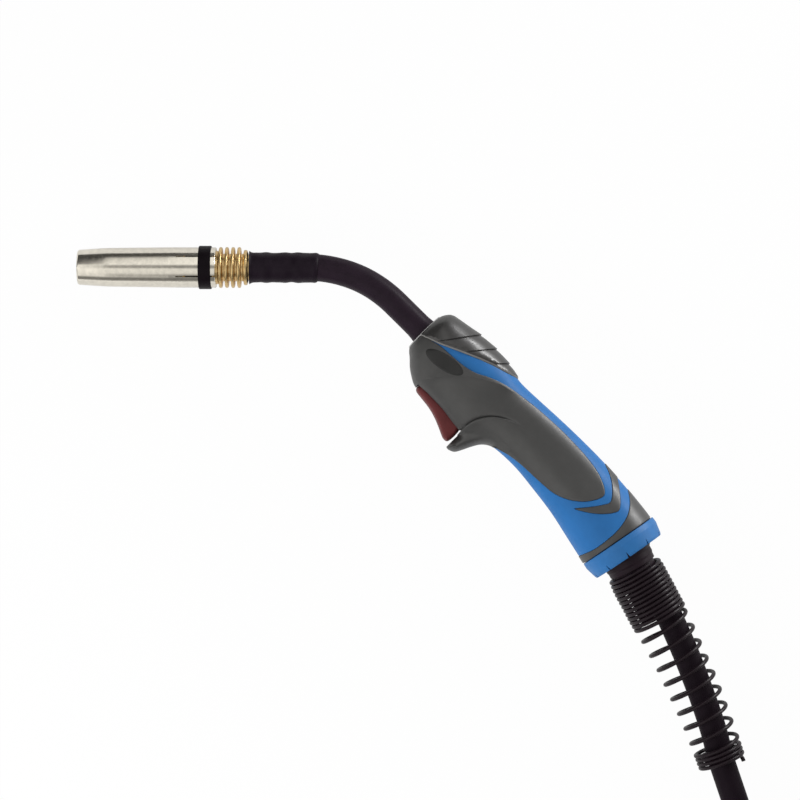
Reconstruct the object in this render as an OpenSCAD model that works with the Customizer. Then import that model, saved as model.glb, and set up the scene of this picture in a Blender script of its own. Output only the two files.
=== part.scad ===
// MIG welding torch with a swivelling bent neck, a two-part moulded handle, a ball-jointed
// cable support with its kink-protection spring, and a coaxial cable that ends in a
// central connector. It lies on its right side, as a torch is laid down on a bench.
//
// Directions: +X runs from the nozzle to the cable, +Y to the handle's back, +Z is up.

/* [Nozzle and tip] */
// Length of the gas nozzle
nozzle_len = 83.8; // [78:0.2:90]
// Outside diameter of the nozzle at its rear
nozzle_rear_d = 24.2; // [23.6:0.1:26]
// Outside diameter of the nozzle at its mouth
nozzle_mouth_d = 20.9; // [20:0.1:22]
// Bore of the nozzle at its mouth
mouth_bore_d = 16; // [14:0.5:17]
// Diameter of the seat that the nozzle is pushed onto
seat_d = 20; // [19:0.1:20.4]
// Length of that seat
seat_len = 20; // [16:0.5:21]
// Number of spring slots in the nozzle's rear end
slot_count = 6; // [4:1:8]
// Length of each slot
slot_len = 24.2; // [20:0.2:28]
// Outside diameter of the black band round the nozzle
band_d = 26.1; // [25.4:0.1:28]
// Width of the black band
band_len = 7.6; // [5:0.1:10]
// How far the contact tip stands back from the mouth
tip_recess = 5; // [4:0.5:7]
// Diameter of the contact tip
tip_d = 10; // [8:0.5:10.5]
// Length of the contact tip outside its holder
tip_len = 25; // [22:1:28]
// Bore of the contact tip, a little over the wire's size
wire_bore_d = 1.3; // [0.9:0.1:1.7]

/* [Neck] */
// Angle that the neck turns the nozzle through
neck_bend = 45; // [40:1:50]
// Radius of the bend
bend_r = 74; // [68:1:80]
// Straight length of neck in front of the handle
neck_straight = 24.6; // [20:0.2:30]
// Distance from the neck's corner to the head
neck_front = 66.6; // [62:0.2:72]
// Outside diameter of the neck's steel tube
neck_tube_d = 13; // [12:0.5:14]
// Outside diameter of the neck's black hose
neck_hose_d = 16.2; // [15.6:0.2:17]
// Outside diameter of the thick front sleeve
neck_sleeve_d = 18.6; // [18:0.2:20]
// Number of cooling fins on the head
fin_count = 4; // [3:1:4]
// Diameter of the cooling fins
fin_d = 24.6; // [23:0.2:25.4]
// Distance from one fin to the next
fin_pitch = 3.7; // [3.4:0.1:3.8]

/* [Handle] */
// Thickness of the soft pads and of the top cover
skin = 1.8; // [1.4:0.1:2.4]
// Height of the pads above the hard shell
pad_rise = 0.3; // [0.2:0.1:0.5]
// Height of the top cover above the hard shell
cover_rise = 0.6; // [0.4:0.1:0.8]
// Width of the trigger
trigger_w = 14.8; // [13:0.2:15.2]
// Angle that the trigger swings through
trigger_swing = 5; // [3:0.5:5]
// Width of the hook behind the trigger
hook_w = 19; // [16:0.5:21]
// Diameter of the swivel socket's bore
swivel_d = 14; // [13.4:0.1:14.4]
// Outside diameter of the swivel socket
socket_d = 23; // [21.6:0.1:23.4]

/* [Cable support] */
// Diameter of the collar's front edge
collar_d = 50.4; // [50:0.1:52]
// Diameter of the collar's rear edge
collar_rear_d = 47; // [46:0.1:48]
// Length of the collar
collar_len = 11.5; // [11:0.1:13]
// Diameter of the swivel ball
ball_d = 37; // [36:0.1:37.4]
// Outside diameter of the sleeve behind the ball
sleeve_d = 30.4; // [29:0.2:31]
// Angle from the handle to the cable support, seen from above
support_yaw = 6; // [0:0.5:10]
// Diameter of the spring's wire
spring_wire = 2.2; // [1.8:0.1:2.2]
// Outside diameter of the spring's close turns
spring_tight_d = 34.8; // [34:0.1:36]
// Outside diameter of the spring's first open turn
spring_open_d = 33.4; // [32.4:0.1:34.4]
// Outside diameter of the spring's last turn
spring_end_d = 29.4; // [28.6:0.1:32]
// Close turns at the front of the spring
tight_turns = 11; // [8:1:12]
// Distance between close turns
tight_pitch = 2.7; // [2.7:0.05:2.9]
// Open turns of the spring
open_turns = 8.5; // [6:0.5:9]
// Distance between open turns
open_pitch = 10; // [9:0.2:10.4]
// Closed turns at the spring's rear end
end_turns = 2.5; // [1.5:0.5:3]

/* [Cable and connector] */
// Outside diameter of the coaxial cable
cable_d = 16; // [15:0.5:16]
// Radius of the coil's outermost turn
coil_r = 106; // [104:1:110]
// Distance between neighbouring turns of the coil
coil_pitch = 16.5; // [16.5:0.1:17]
// Outside diameter of the connector's body
connector_d = 38; // [34:0.5:40]
// Length of the connector's nut
nut_len = 24; // [20:1:28]
// Diameter of the connector's central pin
core_d = 12; // [10:0.5:13]
// Length of the central pin beyond the body
core_len = 20; // [16:1:22]
// Travel of the connector's sprung contact pins
pin_travel = 3; // [2:0.5:4]

/* [Hidden] */

$fn = 64;
run_gap = 0.05;  // radial clearance of everything that turns or slides in a bore
seat_gap = 0.3;  // clearance between pieces that only lie beside each other
far = 200;       // longer than anything it cuts

// Neck: the corner is where the two straight axes would meet
corner_x = -(neck_straight + bend_r * tan(neck_bend / 2));
bend_run = bend_r * tan(neck_bend / 2);
bend_overlap = 0.5;  // how far the straight ends reach over the bend
bend_step = 0.04;    // how much slimmer the bend is than the straight ends
head_len = 19.6;
seat_at = neck_front + head_len;
mouth_at = seat_at + nozzle_len;
tip_at = mouth_at - tip_recess - tip_len;
band_at = seat_at + 3.2;
seat_end = seat_at + seat_len;
head_bore_d = neck_tube_d + 2 * run_gap;
liner_d = 4.4;
liner_bore_d = 2;
holder_d = 12;
thread_d = 8;
tip_thread = 6;
holder_thread_d = 10;
holder_at = seat_end - 10;
valley_d = 15.4;
fin_w = 1.9;
hose_end = neck_front - 1;
sleeve_at = 25.2;

// Handle swivel: the spigot turns in the socket
spigot_at = 8;
spigot_flange_d = 18.4;
spigot_flange = 4;
spigot_end = 40;
socket_at = spigot_at + spigot_flange + seat_gap;
socket_len = 34;
nipple_end = socket_at + socket_len + 6;
nipple_d = 12;
front_bore_d = spigot_flange_d + 2;
groove_w = 1.4;
clip_at = 32;
clip_d = swivel_d + 1.4;
clip_in_d = swivel_d - 1.6;
oring_at = 22;
oring_wire = 1.8;

// Handle: each station is [x, top, bottom, half width, height of the widest line]
stations = [
    [0, 12.6, -12.5, 12.6, 0], [4.5, 18.2, -17, 15.6, 0.3], [10, 19.6, -22, 17.2, 0],
    [18, 20.6, -25.4, 18.2, -1], [28, 22, -25, 18.6, -1.5], [40, 22.5, -25.4, 18.5, -2],
    [52, 21.4, -27, 18, -2], [64, 19.6, -23.6, 17.3, -0.5], [76, 20, -19.6, 16.8, 0.8],
    [94, 20.9, -18.4, 16.6, 1.4], [112, 21.4, -20, 17.2, 1], [130, 21.3, -22.4, 18.8, -0.4],
    [148, 20.3, -26.3, 21.6, -2.8], [166, 18.6, -30.2, 24.4, -5.6], [182, 16.4, -33.6, 25, -8.6]
];
section_power = 2.3;  // 2 is an ellipse, higher is squarer
ring_points = 13;     // points on half a section
ring_steps = 2;       // rings for each station

// Outlines of the soft regions, seen from the left side
pad_upper = [
    [-3, -3.4], [12, 1.3], [13, 0.4], [28, 1.9], [38, 3.5], [46, 7.4], [58, 11.8],
    [76, 15.4], [94, 16.9], [112, 17], [128, 16], [137, 13], [143.5, 8.6], [146.8, 4.6]
];
pad_lower = [
    [145.4, 3], [141, 0.4], [136, -6], [130, -10.4], [124, -13], [112, -14.2], [94, -14.9],
    [84, -16.1], [76, -19.4], [77, -26]
];
chevron = [
    [131, 24], [137.5, 20.6], [143.8, 15], [147.6, 10.6], [149.8, 7.1], [147, 3.4],
    [143, -4.2], [138, -10.7], [144, -8.2], [150.4, -2.4], [156.8, 7.3], [153.4, 11],
    [148, 16.3], [141.7, 24]
];
cuff = [
    [149, 24], [151.7, 19.7], [156.7, 16.1], [161.6, 9.3], [164.1, 0.6], [164.3, -7.6],
    [162.8, -18], [159.8, -28.5], [158, -36], [190, -36], [190, 24]
];
cover_edge = [
    [-3, -3.4], [1, -2], [16, 2.7], [28, 8], [40, 12.8], [52, 17.3], [60, 20.4], [66, 30]
];
cover_steps = [[[9.4, 0.6], [26.6, 24.6]], [[25.2, 7.4], [39.2, 25]], [[43.2, 15], [50.8, 24.2]]];
step_w = 0.7;
hook = [
    [58, -14], [58, -38.2], [58.6, -39.4], [60.5, -39.3], [63.3, -37.6], [65.5, -33.5],
    [68, -28], [70.8, -23.6], [74, -20.8], [75.9, -19.6], [75.9, -14]
];

// Trigger and switch
slot_from = 18.6;
slot_to = 57.4;
slot_top = -16.5;
pivot = [22.5, -21.5];
pivot_d = 3;
boss_d = 6;
trigger_top = -21.9;
trigger_outer = [
    [56.2, -28.9], [55.3, -36.3], [52, -36.9], [46, -34.2], [40, -31.8], [34, -30.2],
    [28, -29.4], [22, -28.7], [19.8, -27]
];
switch_at = [36, -12.5];
switch_size = [12.8, 6.4, 5.8];
plunger_at = 42.4;
plunger_d = 2;
plunger_in = 3;
trigger_spring_at = 30;
trigger_spring_d = 5;
trigger_spring_wire = 0.7;
trigger_spring_turns = 4;

// Rear ball joint, in the collar's own frame
collar_at = [169.7, -5.65];
collar_yaw = -10.5;
ball_back = 1;
thread_depth = 5;
seat_lip = 7;
liner_t = 1.05;
seat_r = ball_d / 2 + liner_t + run_gap;
collar_mouth_d = 40.8;
spigot_r = 22.4;
ball_at = [
    collar_at[0] + ball_back * cos(collar_yaw), collar_at[1] + ball_back * sin(collar_yaw), 0
];

// Lying down: the collar and the nozzle's band touch the bench
band_mid = corner_x - (band_at + band_len / 2) * cos(neck_bend);
lie_tilt = atan((collar_d - band_d) / 2 / (collar_at[0] - band_mid));
collar_lift = collar_d / 2 * cos(lie_tilt) - collar_at[0] * sin(lie_tilt);
origin_x = 67;
origin_y = -52;
function lay(p) = [
    p[0] * cos(lie_tilt) - p[2] * sin(lie_tilt) - origin_x,
    p[1] - origin_y,
    p[0] * sin(lie_tilt) + p[2] * cos(lie_tilt) + collar_lift
];

// Cable support: it droops from the ball until its spring's end touches the bench
support_heading = collar_yaw - support_yaw;
ball_row = lay(ball_at);
sleeve_end = 22;
sleeve_core_d = 27;
sleeve_core_end = 29;
spring_r = (spring_tight_d - spring_wire) / 2;
open_r = (spring_open_d - spring_wire) / 2;
end_r = (spring_end_d - spring_wire) / 2;
spring_from = sleeve_end + spring_wire / 2 + 0.1;
arc_from = 52;
arc_len = 90;
arc_turn = 9;
spring_turns = tight_turns + open_turns + end_turns;
spring_len = (tight_turns + end_turns) * tight_pitch + open_turns * open_pitch;
support_end = spring_from + spring_len + spring_wire;
droop = asin((ball_row[2] - spring_end_d / 2) / support_end);

// Free cable, straight from the support to its coil
bench_lift = 1;  // thickness of the ties under the coil
coil_low = cable_d / 2 + bench_lift;
lead_len = 141;
coil_to = 95;  // angle round the coil where the plug leaves it

// ---------------------------------------------------------------- curves and tubes

function unit(v) = v / norm(v);

// A smooth curve through points, with the given number of steps between each two
function bezier_like(a, b, c, d, t) = 0.5 * (
    2 * b + (c - a) * t + (2 * a - 5 * b + 4 * c - d) * t * t
    + (3 * b - a - 3 * c + d) * t * t * t
);
function smooth(p, steps) = [
    for (i = [0:len(p) - 2], k = [0:steps - 1])
        bezier_like(p[max(i - 1, 0)], p[i], p[i + 1], p[min(i + 2, len(p) - 1)], k / steps),
    p[len(p) - 1]
];

// A closed solid through a list of rings that all have the same number of points
module skin_over(rings) {
    n = len(rings[0]);
    last = (len(rings) - 1) * n;
    sides = [
        for (i = [0:len(rings) - 2], k = [0:n - 1])
            let (a = i * n + k, b = i * n + (k + 1) % n)
                each [[a, b, a + n], [b, b + n, a + n]]
    ];
    caps = [
        for (k = [1:n - 2])
            each [[0, k + 1, k], [last, last + k, last + k + 1]]
    ];
    polyhedron([for (ring = rings) each ring], concat(sides, caps));
}

function path_tangent(p, i) = unit(p[min(i + 1, len(p) - 1)] - p[max(i - 1, 0)]);
function ring_at(c, t, up, r, n) = let (u = unit(cross(t, up)), v = cross(u, t)) [
    for (k = [0:n - 1]) c + r * (cos(360 * k / n) * v - sin(360 * k / n) * u)
];
module tube(path, ups, r, n) {
    skin_over([
        for (i = [0:len(path) - 1]) ring_at(path[i], path_tangent(path, i), ups[i], r, n)
    ]);
}

// Least distance between the surfaces of a wound tube's own turns
function least_gap(p, d, skip) = min([
    for (i = [0:len(p) - 1 - skip], j = [i + skip:len(p) - 1]) norm(p[i] - p[j])
]) - d;

// ---------------------------------------------------------------- frames

// Handle and neck: the torch lies on its right side, nozzle down to the bench
module torch_frame() {
    translate([-origin_x, -origin_y, collar_lift]) rotate([0, -lie_tilt, 0]) children();
}

// The swivel's axis, with +Z running to the rear
module swivel_axis() {
    rotate([0, 90, 0]) children();
}

// The nozzle's axis from the neck's corner, with +Z running to the mouth
module nozzle_axis() {
    translate([corner_x, 0, 0]) rotate([0, 0, 180 + neck_bend]) rotate([0, 90, 0]) children();
}

// The collar's axis, with +Z running to the rear
module collar_axis() {
    translate(collar_at) rotate([0, 0, collar_yaw]) rotate([0, 90, 0]) children();
}

// The cable support from the ball's centre, with +X running along the cable
module support_frame() {
    translate(ball_row) rotate([0, droop, support_heading]) children();
}

// ---------------------------------------------------------------- neck

module ring(d, bore, from, to) {
    translate([0, 0, from]) difference() {
        cylinder(d = d, h = to - from);
        translate([0, 0, -1]) cylinder(d = bore, h = to - from + 2);
    }
}

// A round bar that follows the neck from x = rear to a distance past the corner; its straight
// ends are sleeved over the bend
module neck_bar(d, rear, front) {
    swivel_axis() translate([0, 0, -neck_straight - bend_overlap])
        cylinder(d = d, h = rear + neck_straight + bend_overlap);
    translate([-neck_straight, -bend_r, 0]) rotate([0, 0, 90])
        rotate_extrude(angle = neck_bend) translate([bend_r, 0]) circle(d = d - bend_step);
    nozzle_axis() translate([0, 0, bend_run - bend_overlap])
        cylinder(d = d, h = front - bend_run + bend_overlap);
}

// The neck's centre line from x = rear to a distance past the corner
function neck_line(rear, front) = [
    [rear, 0, 0],
    for (a = [0:neck_bend / 6:neck_bend])
        [-neck_straight - bend_r * sin(a), -bend_r * (1 - cos(a)), 0],
    [corner_x - front * cos(neck_bend), -front * sin(neck_bend), 0]
];

module contact_tip() {
    color("peru") torch_frame() nozzle_axis() difference() {
        union() {
            translate([0, 0, tip_at]) cylinder(d = tip_d, h = tip_len - 9);
            translate([0, 0, tip_at + tip_len - 9])
                cylinder(d1 = tip_d, d2 = tip_d - 3.4, h = 9);
            translate([0, 0, tip_at - tip_thread])
                cylinder(d = thread_d - 2 * run_gap, h = tip_thread + 1);
        }
        translate([0, 0, tip_at - tip_thread - 1])
            cylinder(d = wire_bore_d, h = tip_len + tip_thread + 2);
        translate([0, 0, tip_at - tip_thread - 0.1])
            cylinder(d1 = liner_bore_d + 1.4, d2 = wire_bore_d, h = 3);
        for (side = [0, 180])
            rotate([0, 0, side]) translate([tip_d / 2 - 0.6, -far / 2, tip_at + 4])
                cube([far, far, 6]);
    }
}

module tip_holder() {
    hex_at = seat_end + 0.1;
    color("goldenrod") torch_frame() nozzle_axis() difference() {
        union() {
            translate([0, 0, holder_at]) cylinder(d = holder_thread_d - 2 * run_gap, h = 12);
            translate([0, 0, hex_at]) cylinder(d = holder_d, h = tip_at - hex_at);
            translate([0, 0, tip_at - 7]) cylinder(d = holder_d + 3, h = 7, $fn = 6);
        }
        translate([0, 0, holder_at - 1]) cylinder(d = liner_d + 2 * run_gap, h = far);
        translate([0, 0, tip_at - tip_thread - 0.5]) cylinder(d = thread_d, h = far);
        for (turn = [0:60:300])
            rotate([0, 0, turn]) translate([0, 0, seat_end + 6]) rotate([90, 0, 0])
                cylinder(d = 1.8, h = holder_d);
    }
}

module gas_diffuser() {
    color("whitesmoke") torch_frame() nozzle_axis() difference() {
        ring(seat_d - 0.6, holder_d + 2 * run_gap, seat_end + 0.1, seat_end + 15);
        for (turn = [30:60:330])
            rotate([0, 0, turn]) translate([0, 0, seat_end + 10]) rotate([90, 0, 0])
                cylinder(d = 2.6, h = seat_d);
        ring(holder_d + 4, holder_d, seat_end + 4, seat_end + 11);
    }
}

module gas_nozzle() {
    rear_r = nozzle_rear_d / 2;
    mouth_r = nozzle_mouth_d / 2;
    bore_r = seat_d / 2 + run_gap;
    color("silver") torch_frame() nozzle_axis() difference() {
        rotate_extrude($fn = 96) polygon([
            [bore_r, seat_at + seat_gap], [rear_r - 0.5, seat_at + seat_gap],
            [rear_r, seat_at + seat_gap + 0.5], [rear_r, seat_at + nozzle_len * 0.34],
            [rear_r - 0.5, mouth_at - 17], [mouth_r + 0.1, mouth_at - 0.8],
            [mouth_r - 0.6, mouth_at], [mouth_bore_d / 2 + 0.5, mouth_at],
            [mouth_bore_d / 2, mouth_at - 0.6], [mouth_bore_d / 2, mouth_at - 6],
            [bore_r, mouth_at - 34]
        ]);
        for (k = [0:slot_count - 1])
            rotate([0, 0, 30 + 360 * k / slot_count])
                translate([0, -0.3, seat_at - 1]) cube([far, 0.6, slot_len + 1]);
    }
}

module nozzle_band() {
    color("dimgray") torch_frame() nozzle_axis()
        ring(band_d, nozzle_rear_d, band_at, band_at + band_len);
}

module neck_head() {
    fins_at = seat_at - 2.7 - fin_count * fin_pitch;
    color("darkgoldenrod") torch_frame() nozzle_axis() difference() {
        union() {
            translate([0, 0, neck_front]) cylinder(d = valley_d, h = head_len);
            translate([0, 0, neck_front + 0.3]) cylinder(d = fin_d - 3.3, h = fin_w - 0.4);
            for (k = [0:fin_count - 1])
                translate([0, 0, fins_at + k * fin_pitch]) cylinder(d = fin_d, h = fin_w);
            translate([0, 0, seat_at - 2.4]) cylinder(d = seat_d, h = 2.4 + seat_len);
        }
        translate([0, 0, neck_front - 1]) cylinder(d = head_bore_d, h = 13);
        translate([0, 0, neck_front]) cylinder(d = liner_d + 3, h = far);
        translate([0, 0, holder_at - 1]) cylinder(d = holder_thread_d, h = far);
    }
}

module neck_tube() {
    color("silver") torch_frame() difference() {
        neck_bar(neck_tube_d, spigot_at + spigot_flange - 0.2, neck_front + 11.8);
        neck_bar(neck_tube_d - 4, spigot_at + spigot_flange + 1, neck_front + 13);
    }
}

module neck_hose() {
    color("black") torch_frame() difference() {
        union() {
            neck_bar(neck_hose_d, spigot_at, hose_end);
            swivel_axis() translate([0, 0, -6])
                cylinder(d1 = neck_hose_d, d2 = spigot_flange_d, h = 12);
            swivel_axis() translate([0, 0, 6]) cylinder(d = spigot_flange_d, h = spigot_at - 6);
        }
        neck_bar(neck_tube_d, spigot_at + 1, hose_end + 1);
    }
}

module neck_sleeve() {
    waves = 4;
    wave_len = (neck_front - sleeve_at) / waves;
    color("black") torch_frame() difference() {
        nozzle_axis() rotate_extrude() polygon([
            [neck_tube_d / 2 - 2, sleeve_at],
            for (k = [0:waves * 6])
                [neck_sleeve_d / 2 - 0.25 - 0.25 * cos(60 * k), sleeve_at + k * wave_len / 6],
            [neck_tube_d / 2 - 2, neck_front]
        ]);
        neck_bar(neck_hose_d, 0, hose_end);
        neck_bar(neck_tube_d, 0, neck_front + 1);
    }
}

module wire_liner() {
    path = neck_line(nipple_end - 2, tip_at - tip_thread - 0.6);
    bore = neck_line(nipple_end, tip_at);
    color("lightsteelblue") torch_frame() difference() {
        tube(path, [for (p = path) [0, 0, 1]], liner_d / 2, 12);
        tube(bore, [for (p = bore) [0, 0, 1]], liner_bore_d / 2, 8);
    }
}

// ---------------------------------------------------------------- swivel

module neck_spigot() {
    color("goldenrod") torch_frame() swivel_axis() difference() {
        union() {
            translate([0, 0, spigot_at]) cylinder(d = spigot_flange_d, h = spigot_flange);
            translate([0, 0, spigot_at]) cylinder(d = swivel_d, h = spigot_end - spigot_at);
        }
        translate([0, 0, spigot_at - 1]) cylinder(d = head_bore_d, h = spigot_flange + 1);
        translate([0, 0, spigot_at]) cylinder(d = liner_d + 4, h = 20);
        translate([0, 0, spigot_at]) cylinder(d = liner_d + 2 * run_gap, h = far);
        ring(swivel_d + 1, clip_in_d - 2 * run_gap, clip_at, clip_at + groove_w);
        ring(swivel_d + 1, swivel_d - 2 * oring_wire - 0.1, oring_at, oring_at + oring_wire + 0.4);
    }
}

module spigot_oring() {
    color("black") torch_frame() swivel_axis() translate([0, 0, oring_at + oring_wire / 2 + 0.2])
        rotate_extrude() translate([(swivel_d - oring_wire) / 2, 0])
            circle(d = oring_wire, $fn = 24);
}

module spigot_clip() {
    color("silver") torch_frame() swivel_axis() difference() {
        ring(clip_d, clip_in_d, clip_at + 0.15, clip_at + groove_w - 0.15);
        translate([0, -1.5, clip_at - 1]) cube([far, 3, 4]);
    }
}

module swivel_socket() {
    color("goldenrod") torch_frame() swivel_axis() difference() {
        union() {
            translate([0, 0, socket_at]) cylinder(d = socket_d, h = socket_len);
            translate([0, 0, socket_at + socket_len - 1]) cylinder(d = nipple_d, h = 7);
        }
        translate([0, 0, socket_at - 1])
            cylinder(d = swivel_d + 2 * run_gap, h = spigot_end - socket_at + 1.5);
        translate([0, 0, socket_at]) cylinder(d = liner_d + 2 * run_gap, h = far);
        ring(clip_d + 0.6, swivel_d, clip_at - 0.1, clip_at + groove_w + 0.1);
    }
}

// ---------------------------------------------------------------- handle

function half_section(s, inset) = [
    for (k = [0:ring_points - 1])
        let (
            t = -90 + 180 * k / (ring_points - 1),
            w = s[3] - inset,
            h = (t < 0 ? s[4] - s[2] : s[1] - s[4]) - inset
        )
            [s[0], s[4] + h * sign(t) * pow(abs(sin(t)), 2 / section_power),
             abs(t) == 90 ? 0 : w * pow(cos(t), 2 / section_power)]
];

// The left half of the handle's body, its surface moved in by inset
module body_half(inset) {
    skin_over([for (s = smooth(stations, ring_steps)) half_section(s, inset)]);
}

module region(outline) {
    translate([0, 0, -far / 2]) linear_extrude(far) polygon(outline);
}

module pad_region() {
    region(concat(smooth(pad_upper, 2), smooth(pad_lower, 2), [[77, -50], [-3, -50]]));
}

module soft_regions() {
    pad_region();
    region(chevron);
    region(cuff);
}

module cover_region() {
    region(concat(cover_edge, [[66, 60], [-3, 60]]));
}

// Everything that the finished handle leaves open inside
module handle_hollows() {
    swivel_axis() {
        translate([0, 0, -1]) cylinder(d = front_bore_d, h = socket_at + 1.1);
        translate([0, 0, socket_at])
            cylinder(d = socket_d + 2 * run_gap, h = socket_len + 2 * run_gap);
        translate([0, 0, socket_at + socket_len - 2]) cylinder(d = cable_d + 6, h = 120);
    }
    translate([slot_from, -far, -trigger_w / 2 - 0.4])
        cube([slot_to - slot_from, far + slot_top, trigger_w + 0.8]);
    translate([switch_at[0] - 0.3, slot_top - 1, -switch_size[2] / 2 - 0.2])
        cube([switch_size[0] + 0.6, switch_at[1] - slot_top + 1.1, switch_size[2] + 0.4]);
    translate([switch_at[0] + switch_size[0] - 1, slot_top - 1, -2.4])
        cube([14, switch_at[1] - slot_top + 1.1, 4.8]);
    translate([pivot[0], pivot[1], -10]) cylinder(d = pivot_d + 2 * run_gap, h = 20);
    for (p = screw_at) translate([p[0], p[1], 0]) {
        translate([0, 0, -screw_head_at - 0.5])
            cylinder(d = screw_d + 2 * run_gap, h = screw_len + 1.1, $fn = 32);
        translate([0, 0, -far])
            cylinder(d = screw_head_d + 2 * seat_gap, h = far - screw_head_at, $fn = 32);
    }
    collar_axis() {
        translate([0, 0, ball_back]) sphere(r = seat_r, $fn = 96);
        difference() {
            cylinder(r = far, h = far);
            cylinder(r = spigot_r, h = thread_depth);
        }
    }
}

screw_at = [[63, -13.5], [84, 13.6], [112, -14.6], [126, 13.8], [150, -21.5]];
screw_d = 3;
screw_len = 14.5;
screw_head_at = 7;
screw_head_d = 5.6;
screw_head = 2.4;
screw_key = 2.6;

module shell_half() {
    difference() {
        body_half(0);
        difference() {
            union() {
                soft_regions();
                cover_region();
            }
            body_half(skin);
        }
    }
}

module handle_shell_left() {
    color("steelblue") torch_frame() difference() {
        shell_half();
        handle_hollows();
    }
}

module handle_shell_right() {
    color("steelblue") torch_frame() difference() {
        mirror([0, 0, 1]) shell_half();
        handle_hollows();
    }
}

// The finger hook keeps its rounded section all along its outline
module hook_half() {
    intersection() {
        region(hook);
        rotate([90, 0, 90]) linear_extrude(far) polygon([
            [-13, 0], [-14, hook_w / 2 + 1], [-24, hook_w / 2 + 0.4], [-31, hook_w / 2 - 1],
            [-36.5, hook_w / 2 - 3], [-39, hook_w / 2 - 5.5], [-40, 0]
        ]);
    }
}

module pad_half() {
    difference() {
        intersection() {
            body_half(-pad_rise);
            difference() {
                soft_regions();
                cover_region();
            }
        }
        body_half(skin);
    }
    difference() {
        hook_half();
        body_half(skin);
    }
}

module grip_pad_left() {
    color("dimgray") torch_frame() difference() {
        pad_half();
        handle_hollows();
    }
}

module grip_pad_right() {
    color("dimgray") torch_frame() difference() {
        mirror([0, 0, 1]) pad_half();
        handle_hollows();
    }
}

module top_cover() {
    color("gray") torch_frame() difference() {
        intersection() {
            union() {
                body_half(-cover_rise);
                mirror([0, 0, 1]) body_half(-cover_rise);
            }
            cover_region();
        }
        body_half(skin);
        mirror([0, 0, 1]) body_half(skin);
        cover_grooves();
        handle_hollows();
    }
}

// Narrow grooves that divide the cover's grip into steps
module cover_grooves() {
    difference() {
        for (line = cover_steps) {
            along = unit(line[1] - line[0]);
            side = step_w / 2 * [-along[1], along[0]];
            region([line[0] - side, line[1] - side, line[1] + side, line[0] + side]);
        }
        body_half(0);
        mirror([0, 0, 1]) body_half(0);
    }
}

module handle_screws() {
    color("silver") torch_frame() for (p = screw_at) translate([p[0], p[1], 0]) difference() {
        union() {
            translate([0, 0, -screw_head_at]) cylinder(d = screw_d, h = screw_len, $fn = 32);
            translate([0, 0, -screw_head_at - screw_head])
                cylinder(d = screw_head_d, h = screw_head, $fn = 32);
        }
        translate([0, 0, -screw_head_at - screw_head - 1])
            cylinder(d = screw_key, h = screw_head_d / 2, $fn = 6);
    }
}

module rear_collar() {
    color("steelblue") torch_frame() collar_axis() difference() {
        cylinder(d1 = collar_d, d2 = collar_rear_d, h = collar_len, $fn = 128);
        translate([0, 0, -1]) cylinder(r = spigot_r + run_gap, h = thread_depth + 1.1);
        translate([0, 0, ball_back]) sphere(r = seat_r, $fn = 96);
        translate([0, 0, seat_lip])
            cylinder(r1 = sqrt(pow(seat_r, 2) - pow(seat_lip - ball_back, 2)),
                     r2 = collar_mouth_d / 2, h = collar_len - seat_lip);
        translate([0, 0, collar_len - 0.01]) cylinder(d = collar_mouth_d, h = 1);
    }
}

module inner_cable() {
    front = nipple_end + seat_gap;
    flex = ball_d / 2 + 6;
    back = support_direction_in_torch();
    path = concat(
        smooth([
            [front, 0, 0], [front + inner_straight, 0, 0], (front + ball_at[0]) / 2 * [1, 0, 0],
            ball_at - flex * back
        ], 2),
        [ball_at - cable_front * back]
    );
    color("black") torch_frame()
        tube(path, [for (p = path) [0, 0, 1]], cable_d / 2 - 0.5, 12);
}
cable_front = 11.6;
inner_straight = 12;
function support_direction_in_torch() = let (
    h = support_heading, d = droop + lie_tilt
) [cos(d) * cos(h), cos(d) * sin(h), -sin(d)];

// ---------------------------------------------------------------- trigger and switch

module trigger() {
    color("firebrick") torch_frame() difference() {
        union() {
            translate([0, 0, -trigger_w / 2]) linear_extrude(trigger_w) polygon(concat(
                [[slot_from + 1.2, trigger_top - 1.6], [pivot[0], trigger_top]],
                [[56.2, trigger_top]], smooth(trigger_outer, 2)
            ));
            translate([pivot[0], pivot[1], -trigger_w / 2]) cylinder(d = boss_d, h = trigger_w);
        }
        translate([pivot[0], pivot[1], -trigger_w])
            cylinder(d = pivot_d + 2 * run_gap, h = 2 * trigger_w);
    }
}

module trigger_pin() {
    color("silver") torch_frame()
        translate([pivot[0], pivot[1], -9.8]) cylinder(d = pivot_d, h = 19.6);
}

module trigger_spring() {
    r = (trigger_spring_d - trigger_spring_wire) / 2;
    low = trigger_top + trigger_spring_wire / 2 + 0.05;
    high = slot_top - trigger_spring_wire / 2 - 0.05;
    path = [
        for (k = [0:8 * trigger_spring_turns])
            let (a = 45 * k)
                [trigger_spring_at + r * cos(a),
                 low + (high - low) * k / (8 * trigger_spring_turns), r * sin(a)]
    ];
    echo(trigger_spring_least_gap = least_gap(path, trigger_spring_wire, 5));
    color("silver") torch_frame()
        tube(path, [for (p = path) [0, 1, 0]], trigger_spring_wire / 2, 6);
}

module switch_body() {
    color("black") torch_frame() difference() {
        translate([switch_at[0], switch_at[1] - switch_size[1], -switch_size[2] / 2])
            cube(switch_size);
        translate([plunger_at, switch_at[1] - switch_size[1] - 1, 0]) rotate([-90, 0, 0])
            cylinder(d = plunger_d + 2 * run_gap, h = plunger_in + 3);
    }
}

module switch_plunger() {
    low = trigger_top + 0.1;
    high = switch_at[1] - switch_size[1] + plunger_in;
    color("white") torch_frame() translate([plunger_at, low, 0]) rotate([-90, 0, 0])
        cylinder(d = plunger_d, h = high - low - 1.6);
}

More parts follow.
